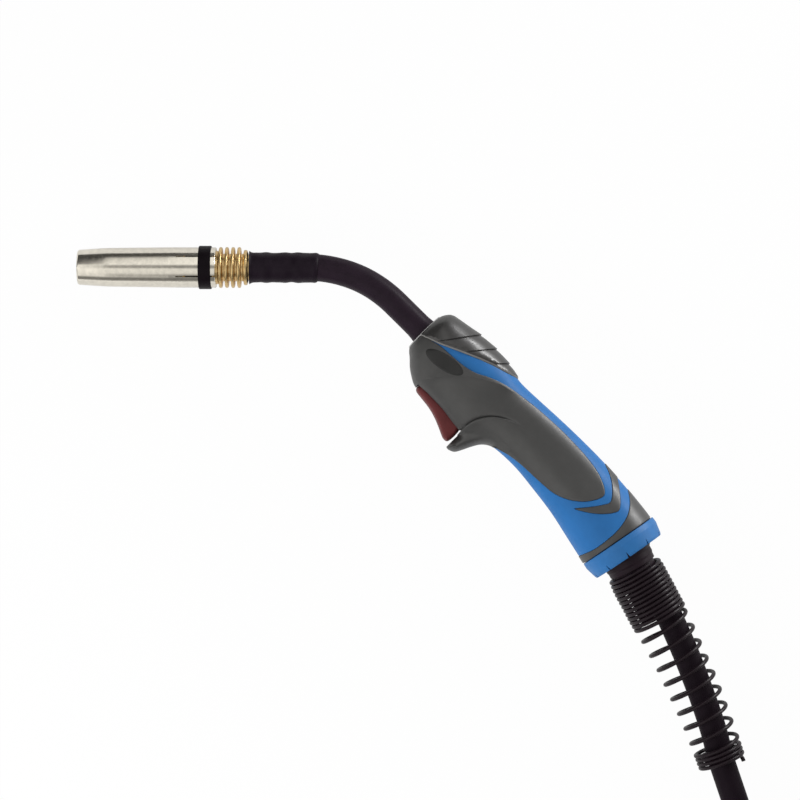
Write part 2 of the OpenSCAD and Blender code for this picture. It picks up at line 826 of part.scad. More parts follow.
module switch_wires() {
    from = switch_at[0] + switch_size[0];
    color("white") torch_frame() for (side = [-1, 1])
        translate([from, switch_at[1] - 1.6, side * 1.2]) rotate([0, 90, 0])
            cylinder(d = 1.4, h = 11);
}

// ---------------------------------------------------------------- cable support

module ball_liner() {
    width = 3;
    color("ivory") translate(ball_row) rotate([0, droop, support_heading]) rotate([0, 90, 0])
        difference() {
            intersection() {
                sphere(r = seat_r - run_gap, $fn = 96);
                translate([0, 0, -width]) cylinder(r = far, h = 2 * width);
            }
            sphere(r = ball_d / 2 + run_gap, $fn = 96);
        }
}

module cable_support() {
    ball_flat = 11;
    color("black") support_frame() rotate([0, 90, 0]) difference() {
        union() {
            intersection() {
                sphere(d = ball_d, $fn = 96);
                translate([0, 0, -ball_flat]) cylinder(r = far, h = far);
            }
            cylinder(d = sleeve_d, h = sleeve_end);
            cylinder(d = sleeve_core_d, h = sleeve_core_end);
        }
        translate([0, 0, -ball_d]) cylinder(d = cable_d, h = far);
    }
}

// The support's centre line: straight through the close turns, then a gentle arc
arc_r = arc_len / (arc_turn * PI / 180);
function arc_at(s) = max(0, s - arc_from) / arc_len * arc_turn;
function line_at(s) = let (a = arc_at(s)) s <= arc_from
    ? [s, 0, 0]
    : [arc_from + arc_r * sin(a), -arc_r * (1 - cos(a)), 0];
function line_dir(s) = [cos(arc_at(s)), -sin(arc_at(s)), 0];
function line_side(s) = [sin(arc_at(s)), cos(arc_at(s)), 0];

// Where a spring's wire is after u turns, measured along the centre line
function wire_at(u) = spring_from + tight_pitch * min(u, tight_turns)
    + open_pitch * min(max(u - tight_turns, 0), open_turns)
    + tight_pitch * max(u - tight_turns - open_turns, 0);
function wire_r(u) = u < tight_turns
    ? spring_r
    : open_r + (end_r - open_r) * min(1, (u - tight_turns) / open_turns);
spring_path = [
    for (k = [0:8 * spring_turns])
        let (u = k / 8, a = 45 * k, s = wire_at(u))
            line_at(s) + wire_r(u) * (sin(a) * line_side(s) + [0, 0, cos(a)])
];

module support_spring() {
    echo(support_spring_least_gap = least_gap(spring_path, spring_wire, 5));
    color("black") support_frame() tube(
        spring_path, [for (k = [0:8 * spring_turns]) line_dir(wire_at(k / 8))],
        spring_wire / 2, 6
    );
}

// How far the cable lies to one side in the spring, at distances along the centre line
cable_aside = [
    [sleeve_core_end + 0.5, 0], [36, 1.6], [43, 4.3], [49, 5.4], [56, 5.5], [76, 4.5], [96, 3.4],
    [116, 2.3], [130, 1.4], [support_end - 5, 0.2]
];

module power_cable() {
    path = [
        line_at(-cable_front + 0.3),
        for (p = cable_aside) line_at(p[0]) + p[1] * line_side(p[0]),
        line_at(support_end - 1), line_at(support_end)
    ];
    color("black") support_frame()
        tube(path, [for (p = path) [0, 0, 1]], cable_d / 2 - 0.1, 12);
}

// ---------------------------------------------------------------- free cable

function to_row(p) = let (
    q = [p[0] * cos(droop) + p[2] * sin(droop), p[1], -p[0] * sin(droop) + p[2] * cos(droop)],
    h = support_heading
) ball_row + [q[0] * cos(h) - q[1] * sin(h), q[0] * sin(h) + q[1] * cos(h), q[2]];
exit_at = to_row(line_at(support_end));
exit_dir = unit(to_row(line_at(support_end) + line_dir(support_end)) - exit_at);

// The coil spirals in on the bench, climbs where it turns, and spirals out on top
lead_heading = atan2(exit_dir[1], exit_dir[0]);
coil_from = lead_heading - 90;
coil_turns = 5 + (coil_to - coil_from) / 360;
coil_in = [cos(lead_heading), sin(lead_heading), 0];
coil_out = [-sin(coil_to), cos(coil_to), 0];
coil_centre = [
    exit_at[0] + lead_len * coil_in[0] - coil_r * coil_in[1],
    exit_at[1] + lead_len * coil_in[1] + coil_r * coil_in[0]
];
function climb(s) = s < -0.5 ? 0 : s > 0.5 ? 1 : (1 + sin(180 * s)) / 2;
function coil_at(u) = let (
    a = coil_from + 360 * u,
    half = coil_turns / 2,
    r = coil_r - coil_pitch * min(u, coil_turns - u)
) [
    coil_centre[0] + r * cos(a), coil_centre[1] + r * sin(a),
    coil_low + coil_pitch * climb((u - half) / 0.5)
];
coil_start = coil_at(0);
plug_run = 36;  // straight end of the coil, clear of its other turns
coil_steps = ceil(24 * coil_turns);
coil_path = [
    coil_start - cable_d * coil_in, coil_start - cable_d / 2 * coil_in,
    for (k = [0:coil_steps]) coil_at(k / coil_steps * coil_turns),
    coil_at(coil_turns) + plug_run / 2 * coil_out, coil_at(coil_turns) + plug_run * coil_out
];
plug_at = coil_at(coil_turns) + plug_run * coil_out;

module cable_lead() {
    sink = [[34, 12.6], [50, 10.9], [64, 9.6]];  // distance along the lead, height
    path = [
        exit_at + run_gap * exit_dir, exit_at + cable_d * exit_dir,
        for (p = sink) [exit_at[0] + p[0] * coil_in[0], exit_at[1] + p[0] * coil_in[1], p[1]],
        coil_start - (cable_d + 12) * coil_in, coil_start - cable_d * coil_in
    ];
    color("black") tube(path, [for (p = path) [0, 0, 1]], cable_d / 2, 12);
}

module cable_coil() {
    echo(coil_least_gap = least_gap(coil_path, cable_d, 12));
    color("black") tube(coil_path, [for (p = coil_path) [0, 0, 1]], cable_d / 2, 6);
}

// Two straps hold the coil together
module coil_ties() {
    tie_w = 18;
    inner = coil_r - coil_pitch * coil_turns / 2 - cable_d / 2 - 3;
    outer = coil_r + cable_d / 2 + 1;
    high = coil_low + coil_pitch + cable_d / 2 + seat_gap;
    color("dimgray") for (a = [-25, 155])
        translate([coil_centre[0], coil_centre[1], 0]) rotate([0, 0, a])
            difference() {
                translate([inner - bench_lift, -tie_w / 2, 0])
                    cube([outer - inner + 2 * bench_lift, tie_w, high + bench_lift]);
                translate([inner, -tie_w, bench_lift - 0.05])
                    cube([outer - inner, 2 * tie_w, high - bench_lift + 0.05]);
            }
}

// ---------------------------------------------------------------- connector

boot_len = 46;
body_at = boot_len;
body_len = 34;
nut_at = body_at + body_len - 12;
nut_d = 2 * (coil_low + coil_pitch);
nut_bore_d = 36;
face_at = body_at + body_len;
contact_r = 10.2;
shank_d = core_d - 2;  // the central pin's part inside the body
shank_len = 16;
contact_d = 4;
contact_out = 8;

// The plug's axis, with +Z running to its contacts
module plug_axis() {
    translate(plug_at) rotate([0, 0, coil_to + 180]) rotate([90, 0, 0]) children();
}

module connector_boot() {
    ribs = 6;
    color("black") plug_axis() difference() {
        union() {
            cylinder(d1 = cable_d + 3, d2 = connector_d - 6, h = boot_len);
            for (k = [0:ribs - 1])
                translate([0, 0, 6 + k * 6]) cylinder(d = cable_d + 6 + k * 1.9, h = 3);
        }
        translate([0, 0, boot_len - 8]) cylinder(d = cable_d + 4, h = 10);
    }
}

module connector_body() {
    color("dimgray") plug_axis() difference() {
        union() {
            translate([0, 0, body_at]) cylinder(d = connector_d, h = nut_at - body_at - seat_gap);
            translate([0, 0, body_at - 8]) cylinder(d = cable_d + 3.6, h = 9);
            translate([0, 0, body_at]) cylinder(d = nut_bore_d - 8, h = body_len);
            translate([0, 0, nut_at + 3]) cylinder(d = nut_bore_d - 1, h = 4);
        }
        translate([0, 0, face_at - shank_len]) cylinder(d = shank_d + 2 * run_gap, h = far);
        for (side = [-1, 1]) translate([side * contact_r, 0, face_at - 12])
            cylinder(d = contact_d + 2 * run_gap, h = far);
    }
}

module connector_core() {
    color("goldenrod") plug_axis() difference() {
        union() {
            translate([0, 0, face_at - shank_len]) cylinder(d = shank_d, h = shank_len + 1);
            translate([0, 0, face_at + seat_gap])
                cylinder(d = core_d, h = core_len - 2 - seat_gap);
            translate([0, 0, face_at + core_len - 2])
                cylinder(d1 = core_d, d2 = core_d - 3, h = 2);
        }
        translate([0, 0, face_at - shank_len - 1]) cylinder(d = 5, h = far);
        ring(core_d + 1, core_d - 3.3, face_at + core_len - 8, face_at + core_len - 5.8);
    }
}

module connector_oring() {
    color("black") plug_axis() translate([0, 0, face_at + core_len - 6.9])
        rotate_extrude() translate([core_d / 2 - 0.85, 0]) circle(d = 1.6, $fn = 24);
}

module connector_nut() {
    grips = 24;
    color("dimgray") plug_axis() difference() {
        union() {
            translate([0, 0, nut_at]) cylinder(d = nut_d - 2, h = nut_len + 8, $fn = 96);
            for (k = [0:grips - 1]) rotate([0, 0, 360 * k / grips])
                translate([nut_d / 2 - 1.5, 0, nut_at + 2]) cylinder(r = 1.5, h = nut_len + 4, $fn = 16);
        }
        translate([0, 0, nut_at - 1]) cylinder(d = nut_bore_d - 7, h = far);
        translate([0, 0, nut_at + 2.7]) cylinder(d = nut_bore_d, h = far);
    }
}

module contact_pin(side) {
    color("goldenrod") plug_axis() translate([side * contact_r, 0, face_at - 12 + pin_travel + 0.5]) {
        cylinder(d = contact_d, h = 12 - pin_travel - 0.5 + contact_out - 1);
        translate([0, 0, 12 - pin_travel - 0.5 + contact_out - 1])
            cylinder(d1 = contact_d, d2 = contact_d - 1.6, h = 1);
    }
}

module contact_pin_upper() {
    contact_pin(1);
}

module contact_pin_lower() {
    contact_pin(-1);
}

// ---------------------------------------------------------------- what is drawn

contact_tip();
tip_holder();
gas_diffuser();
gas_nozzle();
nozzle_band();
neck_head();
neck_tube();
neck_hose();
neck_sleeve();
wire_liner();
neck_spigot();
spigot_oring();
spigot_clip();
swivel_socket();
handle_shell_left();
handle_shell_right();
grip_pad_left();
grip_pad_right();
top_cover();
handle_screws();
rear_collar();
inner_cable();
trigger();
trigger_pin();
trigger_spring();
switch_body();
switch_plunger();
switch_wires();
ball_liner();
cable_support();
support_spring();
power_cable();
cable_lead();
cable_coil();
coil_ties();
connector_boot();
connector_body();
connector_core();
connector_oring();
connector_nut();
contact_pin_upper();
contact_pin_lower();
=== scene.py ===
import math

import bmesh
import bpy
import numpy as np
from mathutils import Matrix, Vector, noise
from mathutils.geometry import convex_hull_2d, delaunay_2d_cdt


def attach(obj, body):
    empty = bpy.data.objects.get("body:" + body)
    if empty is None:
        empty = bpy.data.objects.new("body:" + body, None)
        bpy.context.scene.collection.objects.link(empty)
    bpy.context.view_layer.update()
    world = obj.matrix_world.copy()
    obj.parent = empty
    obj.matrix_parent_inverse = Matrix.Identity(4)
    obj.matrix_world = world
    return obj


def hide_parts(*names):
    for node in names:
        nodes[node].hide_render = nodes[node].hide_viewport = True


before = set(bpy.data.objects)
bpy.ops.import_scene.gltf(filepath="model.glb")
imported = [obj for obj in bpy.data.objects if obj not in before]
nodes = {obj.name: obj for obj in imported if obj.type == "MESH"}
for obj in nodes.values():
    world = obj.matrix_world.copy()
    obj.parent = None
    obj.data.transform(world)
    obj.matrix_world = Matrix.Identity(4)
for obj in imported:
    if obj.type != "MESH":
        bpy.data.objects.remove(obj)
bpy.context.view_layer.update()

scene = bpy.context.scene
MM = 0.001
sin, cos, pi, TAU = math.sin, math.cos, math.pi, 2 * math.pi
rad = math.radians
shift, spin = Matrix.Translation, Matrix.Rotation
noise.seed_set(1)  # else noise_vector differs from run to run

# ---- sizes, in millimetres
NECK_STRAIGHT, BEND_R, NECK_BEND = 24.6, 74.0, 45.0
NECK_FRONT, HEAD_LEN, NOZZLE_LEN = 66.6, 19.6, 83.8
BAND_D, BAND_LEN = 26.1, 7.6
BEND_RUN = BEND_R * math.tan(rad(NECK_BEND / 2))
CORNER_X = -(NECK_STRAIGHT + BEND_RUN)
SEAT_AT = NECK_FRONT + HEAD_LEN
MOUTH_AT = SEAT_AT + NOZZLE_LEN
BAND_AT = SEAT_AT + 3.2
COLLAR_D, COLLAR_REAR_D, COLLAR_LEN = 50.4, 47.0, 11.5
COLLAR_AT, COLLAR_YAW = (169.7, -5.65), -10.5
ORIGIN_X, ORIGIN_Y = 67.0, -52.0

band_mid = CORNER_X - (BAND_AT + BAND_LEN / 2) * cos(rad(NECK_BEND))
TILT = math.atan((COLLAR_D - BAND_D) / 2 / (COLLAR_AT[0] - band_mid))
LIFT = COLLAR_D / 2 * cos(TILT) - COLLAR_AT[0] * sin(TILT)


def lay(p):
    """A torch point, lying down, in row millimetres."""
    return Vector((
        p[0] * cos(TILT) - p[2] * sin(TILT) - ORIGIN_X,
        p[1] - ORIGIN_Y,
        p[0] * sin(TILT) + p[2] * cos(TILT) + LIFT,
    ))


# Cable support
SUPPORT_YAW, CABLE_D, SLEEVE_D, SLEEVE_END = 6.0, 16.0, 30.4, 22.0
SPRING_WIRE, SPRING_TIGHT_D, SPRING_OPEN_D, SPRING_END_D = 2.2, 34.8, 33.4, 29.4
TIGHT_TURNS, TIGHT_PITCH = 11, 2.7
OPEN_TURNS, OPEN_PITCH, END_TURNS = 8.5, 10.0, 2.5
ARC_FROM, ARC_LEN, ARC_TURN = 52.0, 90.0, rad(9)
BALL_BACK = 1.0  # from the collar's face to the ball's centre
ball_row = lay((COLLAR_AT[0] + BALL_BACK * cos(rad(COLLAR_YAW)),
                COLLAR_AT[1] + BALL_BACK * sin(rad(COLLAR_YAW)), 0))
HEADING = rad(COLLAR_YAW - SUPPORT_YAW)
SPRING_FROM = SLEEVE_END + SPRING_WIRE / 2 + 0.1
SPRING_TURNS = TIGHT_TURNS + OPEN_TURNS + END_TURNS
SUPPORT_END = (SPRING_FROM + (TIGHT_TURNS + END_TURNS) * TIGHT_PITCH
               + OPEN_TURNS * OPEN_PITCH + SPRING_WIRE)
DROOP = math.asin((ball_row.z - SPRING_END_D / 2) / SUPPORT_END)

# ---- frames of the pieces
SCALE = Matrix.Diagonal((MM, MM, MM, 1))
TORCH = SCALE @ shift((-ORIGIN_X, -ORIGIN_Y, LIFT)) @ spin(-TILT, 4, "Y")
SWIVEL = TORCH @ spin(pi / 2, 4, "Y")
NOZZLE = TORCH @ shift((CORNER_X, 0, 0)) @ spin(rad(180 + NECK_BEND), 4, "Z") @ spin(pi / 2, 4, "Y")
COLLAR = TORCH @ shift((*COLLAR_AT, 0)) @ spin(rad(COLLAR_YAW), 4, "Z") @ spin(pi / 2, 4, "Y")
SUPPORT = SCALE @ shift(ball_row) @ spin(HEADING, 4, "Z") @ spin(DROOP, 4, "Y")
ALONG = SUPPORT @ spin(pi / 2, 4, "Y")

# ---- camera
CAM_AT, PLANE_Z, VIEW_WIDE = (-0.049, 0.013, 2.4), 0.019, 0.480  # metres
SENSOR = 36
VIEW_TURN = rad(45.2)
right = Vector((cos(VIEW_TURN), sin(VIEW_TURN), 0))
up = Vector((-sin(VIEW_TURN), cos(VIEW_TURN), 0))


def placed(name, data):
    """A new object of this data, in the scene."""
    o = bpy.data.objects.new(name, data)
    scene.collection.objects.link(o)
    return o


cam = placed("camera", bpy.data.cameras.new("camera"))
scene.camera = cam
cam.data.sensor_width = SENSOR
cam.data.lens = SENSOR * (CAM_AT[2] - PLANE_Z) / VIEW_WIDE
cam.location = CAM_AT
cam.rotation_euler = Matrix((right, up, Vector((0, 0, 1)))).transposed().to_euler()
cam.data.clip_start, cam.data.clip_end = 0.1, 20

# ---- mesh helpers
looks = {}  # materials by name


def mesh(name, verts, faces, body, slot, matrix, hides=(), look=None, sharp=30):
    """A smooth piece that rides on a body and hides CAD nodes.
    Its material has the slot's name unless a look is given. Edges over the sharp angle stay."""
    me = bpy.data.meshes.new(name)
    me.from_pydata([tuple(v) for v in verts], [], [tuple(f) for f in faces])
    me.transform(matrix)
    me.validate()
    me.shade_smooth()
    me.set_sharp_from_angle(angle=rad(sharp))
    me.update()
    o = placed(name, me)
    me.materials.append(looks[look or slot])
    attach(o, body)
    if hides:
        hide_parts(*hides)
    return o


def clean(me, join=0.0, crumbs=0.0, outward=False):
    """Joins a mesh's near points, takes out its tiny edges (both in metres) and turns its
    faces outward."""
    bm = bmesh.new()
    bm.from_mesh(me)
    if join:
        bmesh.ops.remove_doubles(bm, verts=bm.verts, dist=join)
    if crumbs:
        bmesh.ops.dissolve_degenerate(bm, edges=bm.edges, dist=crumbs)
    if outward:
        bmesh.ops.recalc_face_normals(bm, faces=bm.faces)
    bm.to_mesh(me)
    bm.free()


def between(rows, n, ring=False):
    """Faces between rows of n points; the last row joins the first, or both get caps."""
    faces = []
    for i in range(rows if ring else rows - 1):
        a, b = i * n, (i + 1) % rows * n
        faces += [(a + k, a + (k + 1) % n, b + (k + 1) % n, b + k) for k in range(n)]
    if not ring:
        faces += [tuple(reversed(range(n))), tuple(range((rows - 1) * n, rows * n))]
    return faces


def fillet(points, steps=5):
    """A closed profile of (a, b) or (a, b, radius) points, with its corners rounded."""
    out, n = [], len(points)
    for i, p in enumerate(points):
        r = p[2] if len(p) > 2 else 0
        a = Vector(p[:2])
        if r <= 0:
            out.append(tuple(a))
            continue
        b, c = Vector(points[i - 1][:2]) - a, Vector(points[(i + 1) % n][:2]) - a
        lb, lc = b.length, c.length
        b.normalize(), c.normalize()
        half = math.acos(max(-1, min(1, b.dot(c)))) / 2
        cut = min(r / math.tan(half), 0.48 * lb, 0.48 * lc)
        for k in range(steps + 1):
            t = k / steps
            out.append(tuple(a + b * cut * (1 - t) ** 2 + c * cut * t ** 2))
    return out


def lathe(profile, n):
    """Vertices and faces of a closed (radius, height) profile turned round Z."""
    verts = [
        (r * cos(TAU * k / n), r * sin(TAU * k / n), z)
        for k in range(n) for r, z in profile
    ]
    return verts, [(a, d, c, b) for a, b, c, d in between(n, len(profile), True)]


def turned(name, points, body, slot, matrix, hides=(), look=None, n=96, sharp=30):
    """A piece turned round Z from a closed outline of (radius, height, fillet) points."""
    profile = fillet(points)
    if sum(a[0] * b[1] - b[0] * a[1] for a, b in zip(profile, profile[1:] + profile[:1])) < 0:
        profile.reverse()
    return mesh(name, *lathe(profile, n), body, slot, matrix, hides, look, sharp)


def tube(path, radius, n, ups=None):
    """Vertices and faces of a capped round tube along points. Its radius is a number or a list
    with one for each point, and its rings start beside the vertical, or beside their ups."""
    radii = radius if isinstance(radius, list) else [radius] * len(path)
    verts = []
    for i, p in enumerate(path):
        t = (path[min(i + 1, len(path) - 1)] - path[max(i - 1, 0)]).normalized()
        side = t.cross(ups[i] if ups else Vector((0, 0, 1))).normalized()
        other = side.cross(t)
        verts += [
            p + radii[i] * (cos(TAU * k / n) * side + sin(TAU * k / n) * other)
            for k in range(n)
        ]
    return verts, between(len(path), n)


def catmull(points, steps):
    """A Catmull-Rom line through points, with so many steps to a span."""
    p = [np.array(q, float) for q in points]
    out = []
    for i in range(len(p) - 1):
        a, b, c, d = p[max(i - 1, 0)], p[i], p[i + 1], p[min(i + 2, len(p) - 1)]
        for k in range(steps):
            t = k / steps
            out.append(0.5 * (
                2 * b + (c - a) * t + (2 * a - 5 * b + 4 * c - d) * t * t
                + (3 * b - a - 3 * c + d) * t ** 3
            ))
    return out + [p[-1]]


# ---- cable route
def line_turn(s):
    """How far the cable has turned sideways at a distance from the ball."""
    return max(0, s - ARC_FROM) / ARC_LEN * ARC_TURN


def line_at(s):
    if s <= ARC_FROM:
        return Vector((s, 0, 0))
    a, r = line_turn(s), ARC_LEN / ARC_TURN
    return Vector((ARC_FROM + r * sin(a), -r * (1 - cos(a)), 0))


def line_dir(s):
    return Vector((cos(line_turn(s)), -sin(line_turn(s)), 0))


def line_side(s):
    return Vector((sin(line_turn(s)), cos(line_turn(s)), 0))


to_row = SCALE.inverted() @ SUPPORT
exit_at = to_row @ line_at(SUPPORT_END)
exit_dir = (to_row.to_3x3() @ line_dir(SUPPORT_END)).normalized()
COIL_LOW, COIL_PITCH, COIL_R, COIL_TO = CABLE_D / 2 + 1, 16.5, 106.0, 95.0
LEAD_LEN, PLUG_RUN = 141.0, 36.0
LEAD_SINKS = ((34, 12.6), (50, 10.9), (64, 9.6))  # distance along and height
COIL_STEPS = 72  # to a turn
coil_in = Vector((exit_dir.x, exit_dir.y, 0)).normalized()
coil_out = Vector((-sin(rad(COIL_TO)), cos(rad(COIL_TO)), 0))
COIL_FROM = math.degrees(math.atan2(coil_in.y, coil_in.x)) - 90
COIL_TURNS = 5 + (COIL_TO - COIL_FROM) / 360
COIL_CENTRE = (exit_at.x + LEAD_LEN * coil_in.x - COIL_R * coil_in.y,
               exit_at.y + LEAD_LEN * coil_in.y + COIL_R * coil_in.x)


def climb(s):
    """An even rise from 0 to 1 over one unit."""
    return 0 if s < -0.5 else 1 if s > 0.5 else (1 + sin(pi * s)) / 2


def coil_at(u):
    """The coil's centre line after u turns: inward in one layer, then outward on top."""
    a = rad(COIL_FROM + 360 * u)
    r = COIL_R - COIL_PITCH * min(u, COIL_TURNS - u)
    return Vector((
        COIL_CENTRE[0] + r * cos(a), COIL_CENTRE[1] + r * sin(a),
        COIL_LOW + COIL_PITCH * climb((u - COIL_TURNS / 2) / 0.5),
    ))


plug_at = coil_at(COIL_TURNS) + PLUG_RUN * coil_out
lead = [exit_at, exit_at + CABLE_D * exit_dir] + [
    Vector((exit_at.x + s * coil_in.x, exit_at.y + s * coil_in.y, z)) for s, z in LEAD_SINKS
] + [coil_at(0) - (CABLE_D + 12) * coil_in, coil_at(0) - CABLE_D * coil_in]
coil = [coil_at(0) - CABLE_D / 2 * coil_in] + [
    coil_at(k / COIL_STEPS) for k in range(int(COIL_STEPS * COIL_TURNS))
] + [coil_at(COIL_TURNS), plug_at - PLUG_RUN / 2 * coil_out, plug_at]
route = [Vector(p) * MM for p in catmull(lead, 8) + coil]


# ---- materials
def lin(*rgb):
    """An 8-bit sRGB colour as Blender's linear one."""
    return tuple(
        c / 255 / 12.92 if c <= 10 else ((c / 255 + 0.055) / 1.055) ** 2.4 for c in rgb
    ) + (1.0,)


def fed(nt, n, inputs):
    """A node, with its inputs set to values or joined to other nodes' outputs."""
    for k, value in inputs.items():
        if isinstance(value, bpy.types.NodeSocket):
            nt.links.new(value, n.inputs[k])
        else:
            n.inputs[k].default_value = value
    return n


def node(nt, kind, inputs, operation=None, data_type=None):
    """A new shader node, fed."""
    n = nt.nodes.new("ShaderNode" + kind)
    if operation:
        n.operation = operation
    if data_type:
        n.data_type = data_type
    return fed(nt, n, inputs)


MOTTLE = (6.0, 0.06)


def material(name, colour, rough, grain, mottle=MOTTLE, shine=0.5, metal=0.0, sheen=0.0,
             rough_var=0.05):
    """A procedural finish, kept in looks: mottled colour, varied roughness and fine bump.
    Grain is (size, depth) in mm and mottle is (size in mm, share of the colour)."""
    m = bpy.data.materials.new(name)
    m.use_nodes = True
    nt = m.node_tree
    where = nt.nodes.new("ShaderNodeTexCoord").outputs["Object"]

    def spots(size, detail=4.0):
        return node(nt, "TexNoise", {"Vector": where, "Scale": 1000 / size, "Detail": detail,
                                     "Roughness": 0.6}).outputs["Fac"]

    size, amount = mottle
    spread = node(nt, "MapRange", {"Value": spots(size), "From Min": 0.35, "From Max": 0.65})
    mix = node(nt, "Mix", {
        0: spread.outputs["Result"],
        6: tuple(x * (1 - amount) for x in colour[:3]) + (1,),
        7: tuple(min(1, x * (1 + amount)) for x in colour[:3]) + (1,)}, data_type="RGBA")
    dull = node(nt, "MapRange", {
        "Value": spots(size * 0.6), "From Min": 0.3, "From Max": 0.7,
        "To Min": max(0.02, rough - rough_var), "To Max": min(1, rough + rough_var)})
    bump = node(nt, "Bump", {"Height": spots(grain[0], 3.0), "Strength": 1.0,
                             "Distance": grain[1] * MM})
    fed(nt, nt.nodes["Principled BSDF"], {
        "Metallic": metal, "Specular IOR Level": shine, "Sheen Weight": sheen,
        "Base Color": mix.outputs[2], "Roughness": dull.outputs["Result"],
        "Normal": bump.outputs["Normal"]})
    looks[name] = m


# Name, colour, roughness, grain, mottle, shine, metal, sheen and roughness's spread
for finish in (
    ("pad_grey", lin(54, 54, 54), 0.42, (0.55, 0.03), (9, 0.07), 0.8),
    ("cover_grey", lin(44, 43, 43), 0.34, (1.4, 0.002), (12, 0.05), 0.85),
    # The next finish is painted light: light grey for the cover's bevel strip, in place of light
    # falling on the bevel.
    ("trim_grey", lin(122, 121, 120), 0.40, (1.0, 0.006)),
    ("shell_blue", lin(42, 111, 178), 0.48, (0.7, 0.006), (14, 0.05), 0.22),
    ("collar_blue", lin(46, 112, 176), 0.46, (0.8, 0.008), (10, 0.06), 0.3),
    ("trigger_red", lin(98, 45, 46), 0.45, (0.6, 0.008), (8, 0.08), 0.2),
    # The next finish is a painted highlight: pale grey for the front rim's thin edge.
    ("rim_grey", lin(165, 165, 165), 0.35, (0.8, 0.005)),
    ("badge_black", lin(36, 36, 36), 0.35, (2.0, 0.003), MOTTLE, 0.4),
    ("nickel", (0.80, 0.76, 0.67, 1), 0.15, (0.9, 0.006), (3, 0.06), 0.5, 1.0),
    ("brass", (0.72, 0.52, 0.25, 1), 0.32, (0.8, 0.006), (3, 0.10), 0.5, 1.0, 0.0, 0.06),
    ("copper", (0.72, 0.42, 0.28, 1), 0.30, (0.8, 0.006), MOTTLE, 0.5, 1.0),
    ("steel", (0.55, 0.55, 0.56, 1), 0.30, (0.8, 0.005), MOTTLE, 0.5, 1.0),
    ("hose_black", lin(38, 28, 38), 0.44, (1.6, 0.02), (7, 0.12), 0.1),
    ("shrink_black", lin(30, 22, 31), 0.42, (2.4, 0.03), (7, 0.12), 0.1),
    ("band_black", lin(17, 11, 16), 0.42, (0.6, 0.01), (5, 0.10), 0.08),
    ("sleeve_black", lin(35, 25, 32), 0.42, (0.6, 0.01), (6, 0.10), 0.14),
    ("spring_black", lin(29, 20, 26), 0.36, (0.9, 0.012), (4, 0.14), 0.22),
    ("cable_black", lin(25, 17, 24), 0.50, (0.9, 0.02), (9, 0.10), 0.08),
    ("web_grey", lin(70, 70, 72), 0.8, (0.7, 0.08), (2, 0.2), 0.5, 0.0, 0.2),
    ("boot_black", lin(46, 44, 46), 0.5, (0.7, 0.012)),
    ("plug_grey", lin(66, 66, 70), 0.42, (0.8, 0.01)),
    ("seal_black", lin(30, 30, 30), 0.4, (0.5, 0.004)),
    ("ivory", lin(214, 208, 190), 0.5, (1.0, 0.006)),
    ("ceramic", lin(226, 222, 212), 0.6, (0.8, 0.01)),
):
    material(*finish)

# ---- cords
ASIDE = [(29.5, 0), (36, 1.6), (43, 4.3), (49, 5.4), (56, 5.5), (76, 4.5), (96, 3.4), (116, 2.3),
         (130, 1.4), (SUPPORT_END - 5, 0.2)]  # how far the cable leans aside in the spring
inside = [line_at(s) for s in (-11.3, 0, 12, 22)]
inside += [line_at(s) + a * line_side(s) for s, a in ASIDE]
inside += [line_at(SUPPORT_END - 1), line_at(SUPPORT_END)]
inside = [Vector(p) for p in catmull(inside, 6)]


def wavy(verts, size, depth, seed):
    """Moves points by a little smooth noise, for hoses that are never quite round."""
    out = []
    for v in verts:
        q = Vector(v) / size + Vector((seed, seed * 1.7, seed * 2.3))
        out.append(Vector(v) + noise.noise_vector(q) * depth)
    return out


v, f = tube(inside, CABLE_D / 2, 40)
mesh("support_cable", wavy(v, 22, 0.10, 3), f, "hose", "cable_black", SUPPORT, ["power_cable"])
free_cable = mesh("free_cable", *tube(route, CABLE_D / 2 * MM, 32), "hose", "cable_black",
                  Matrix(), ["cable_lead", "cable_coil"])

# ---- handle surface
# Each station is [x, top, bottom, half width, height of the widest line]
STATIONS = [
    [0, 12.7, -12.6, 12.7, 0], [0.8, 14.7, -13.8, 13.8, 0], [2.3, 16.6, -15.2, 14.7, 0.1],
    [4.5, 18.3, -17.0, 15.6, 0.3], [10, 19.4, -22.0, 17.2, 0], [18, 20.6, -26.0, 18.2, -1],
    [28, 21.9, -26.5, 18.6, -1.5], [40, 22.2, -27.0, 18.5, -2], [52, 21.2, -28.9, 18, -2],
    [57.5, 20.2, -28.8, 17.7, -1.3], [64, 19.6, -24.0, 17.3, -0.5], [76, 20, -19.6, 16.8, 0.8],
    [94, 20.9, -18.4, 16.6, 1.4], [112, 21.4, -20, 17.2, 1], [130, 21.3, -22.4, 18.8, -0.4],
    [148, 20.3, -26.3, 21.6, -2.8], [166, 18.6, -30.2, 24.4, -5.6], [182, 16.4, -33.6, 25, -8.6],
]
POWER = 2.3  # of the sections' superellipse
AROUND = 20.0  # millimetres to a radian, where the surface is laid out flat
SLOT_FROM, SLOT_TO, SLOT_HALF, SLOT_TOP = 19.5, 57.6, 9.4, -14.4  # for the trigger
PROUD, LET_IN, WALL = 0.3, 0.85, 2.2  # the soft pieces above and below the skin; the shell
PAD_RIM = [(-3, -3.6), (4, -1.4), (12.1, 0.6), (16.5, 1), (21.7, 1.3), (30, 2), (38.7, 4),
           (46.7, 7.9), (54, 10.6), (62.9, 12.9), (72, 14.6), (84.5, 15.9), (98.9, 16.6),
           (114.4, 16.4), (124.3, 15.6), (132.6, 14.1), (139.2, 11.6), (142.8, 9.4),
           (144.5, 7.2), (144.3, 4.8), (142.7, 1.4), (139.1, -3.6), (133.3, -8.5), (127, -11.8),
           (120.2, -13.6), (108.9, -14.4), (97.1, -14.9), (88, -16.1), (82, -17.6), (77.4, -19.4),
           (76, -22), (77, -26)]
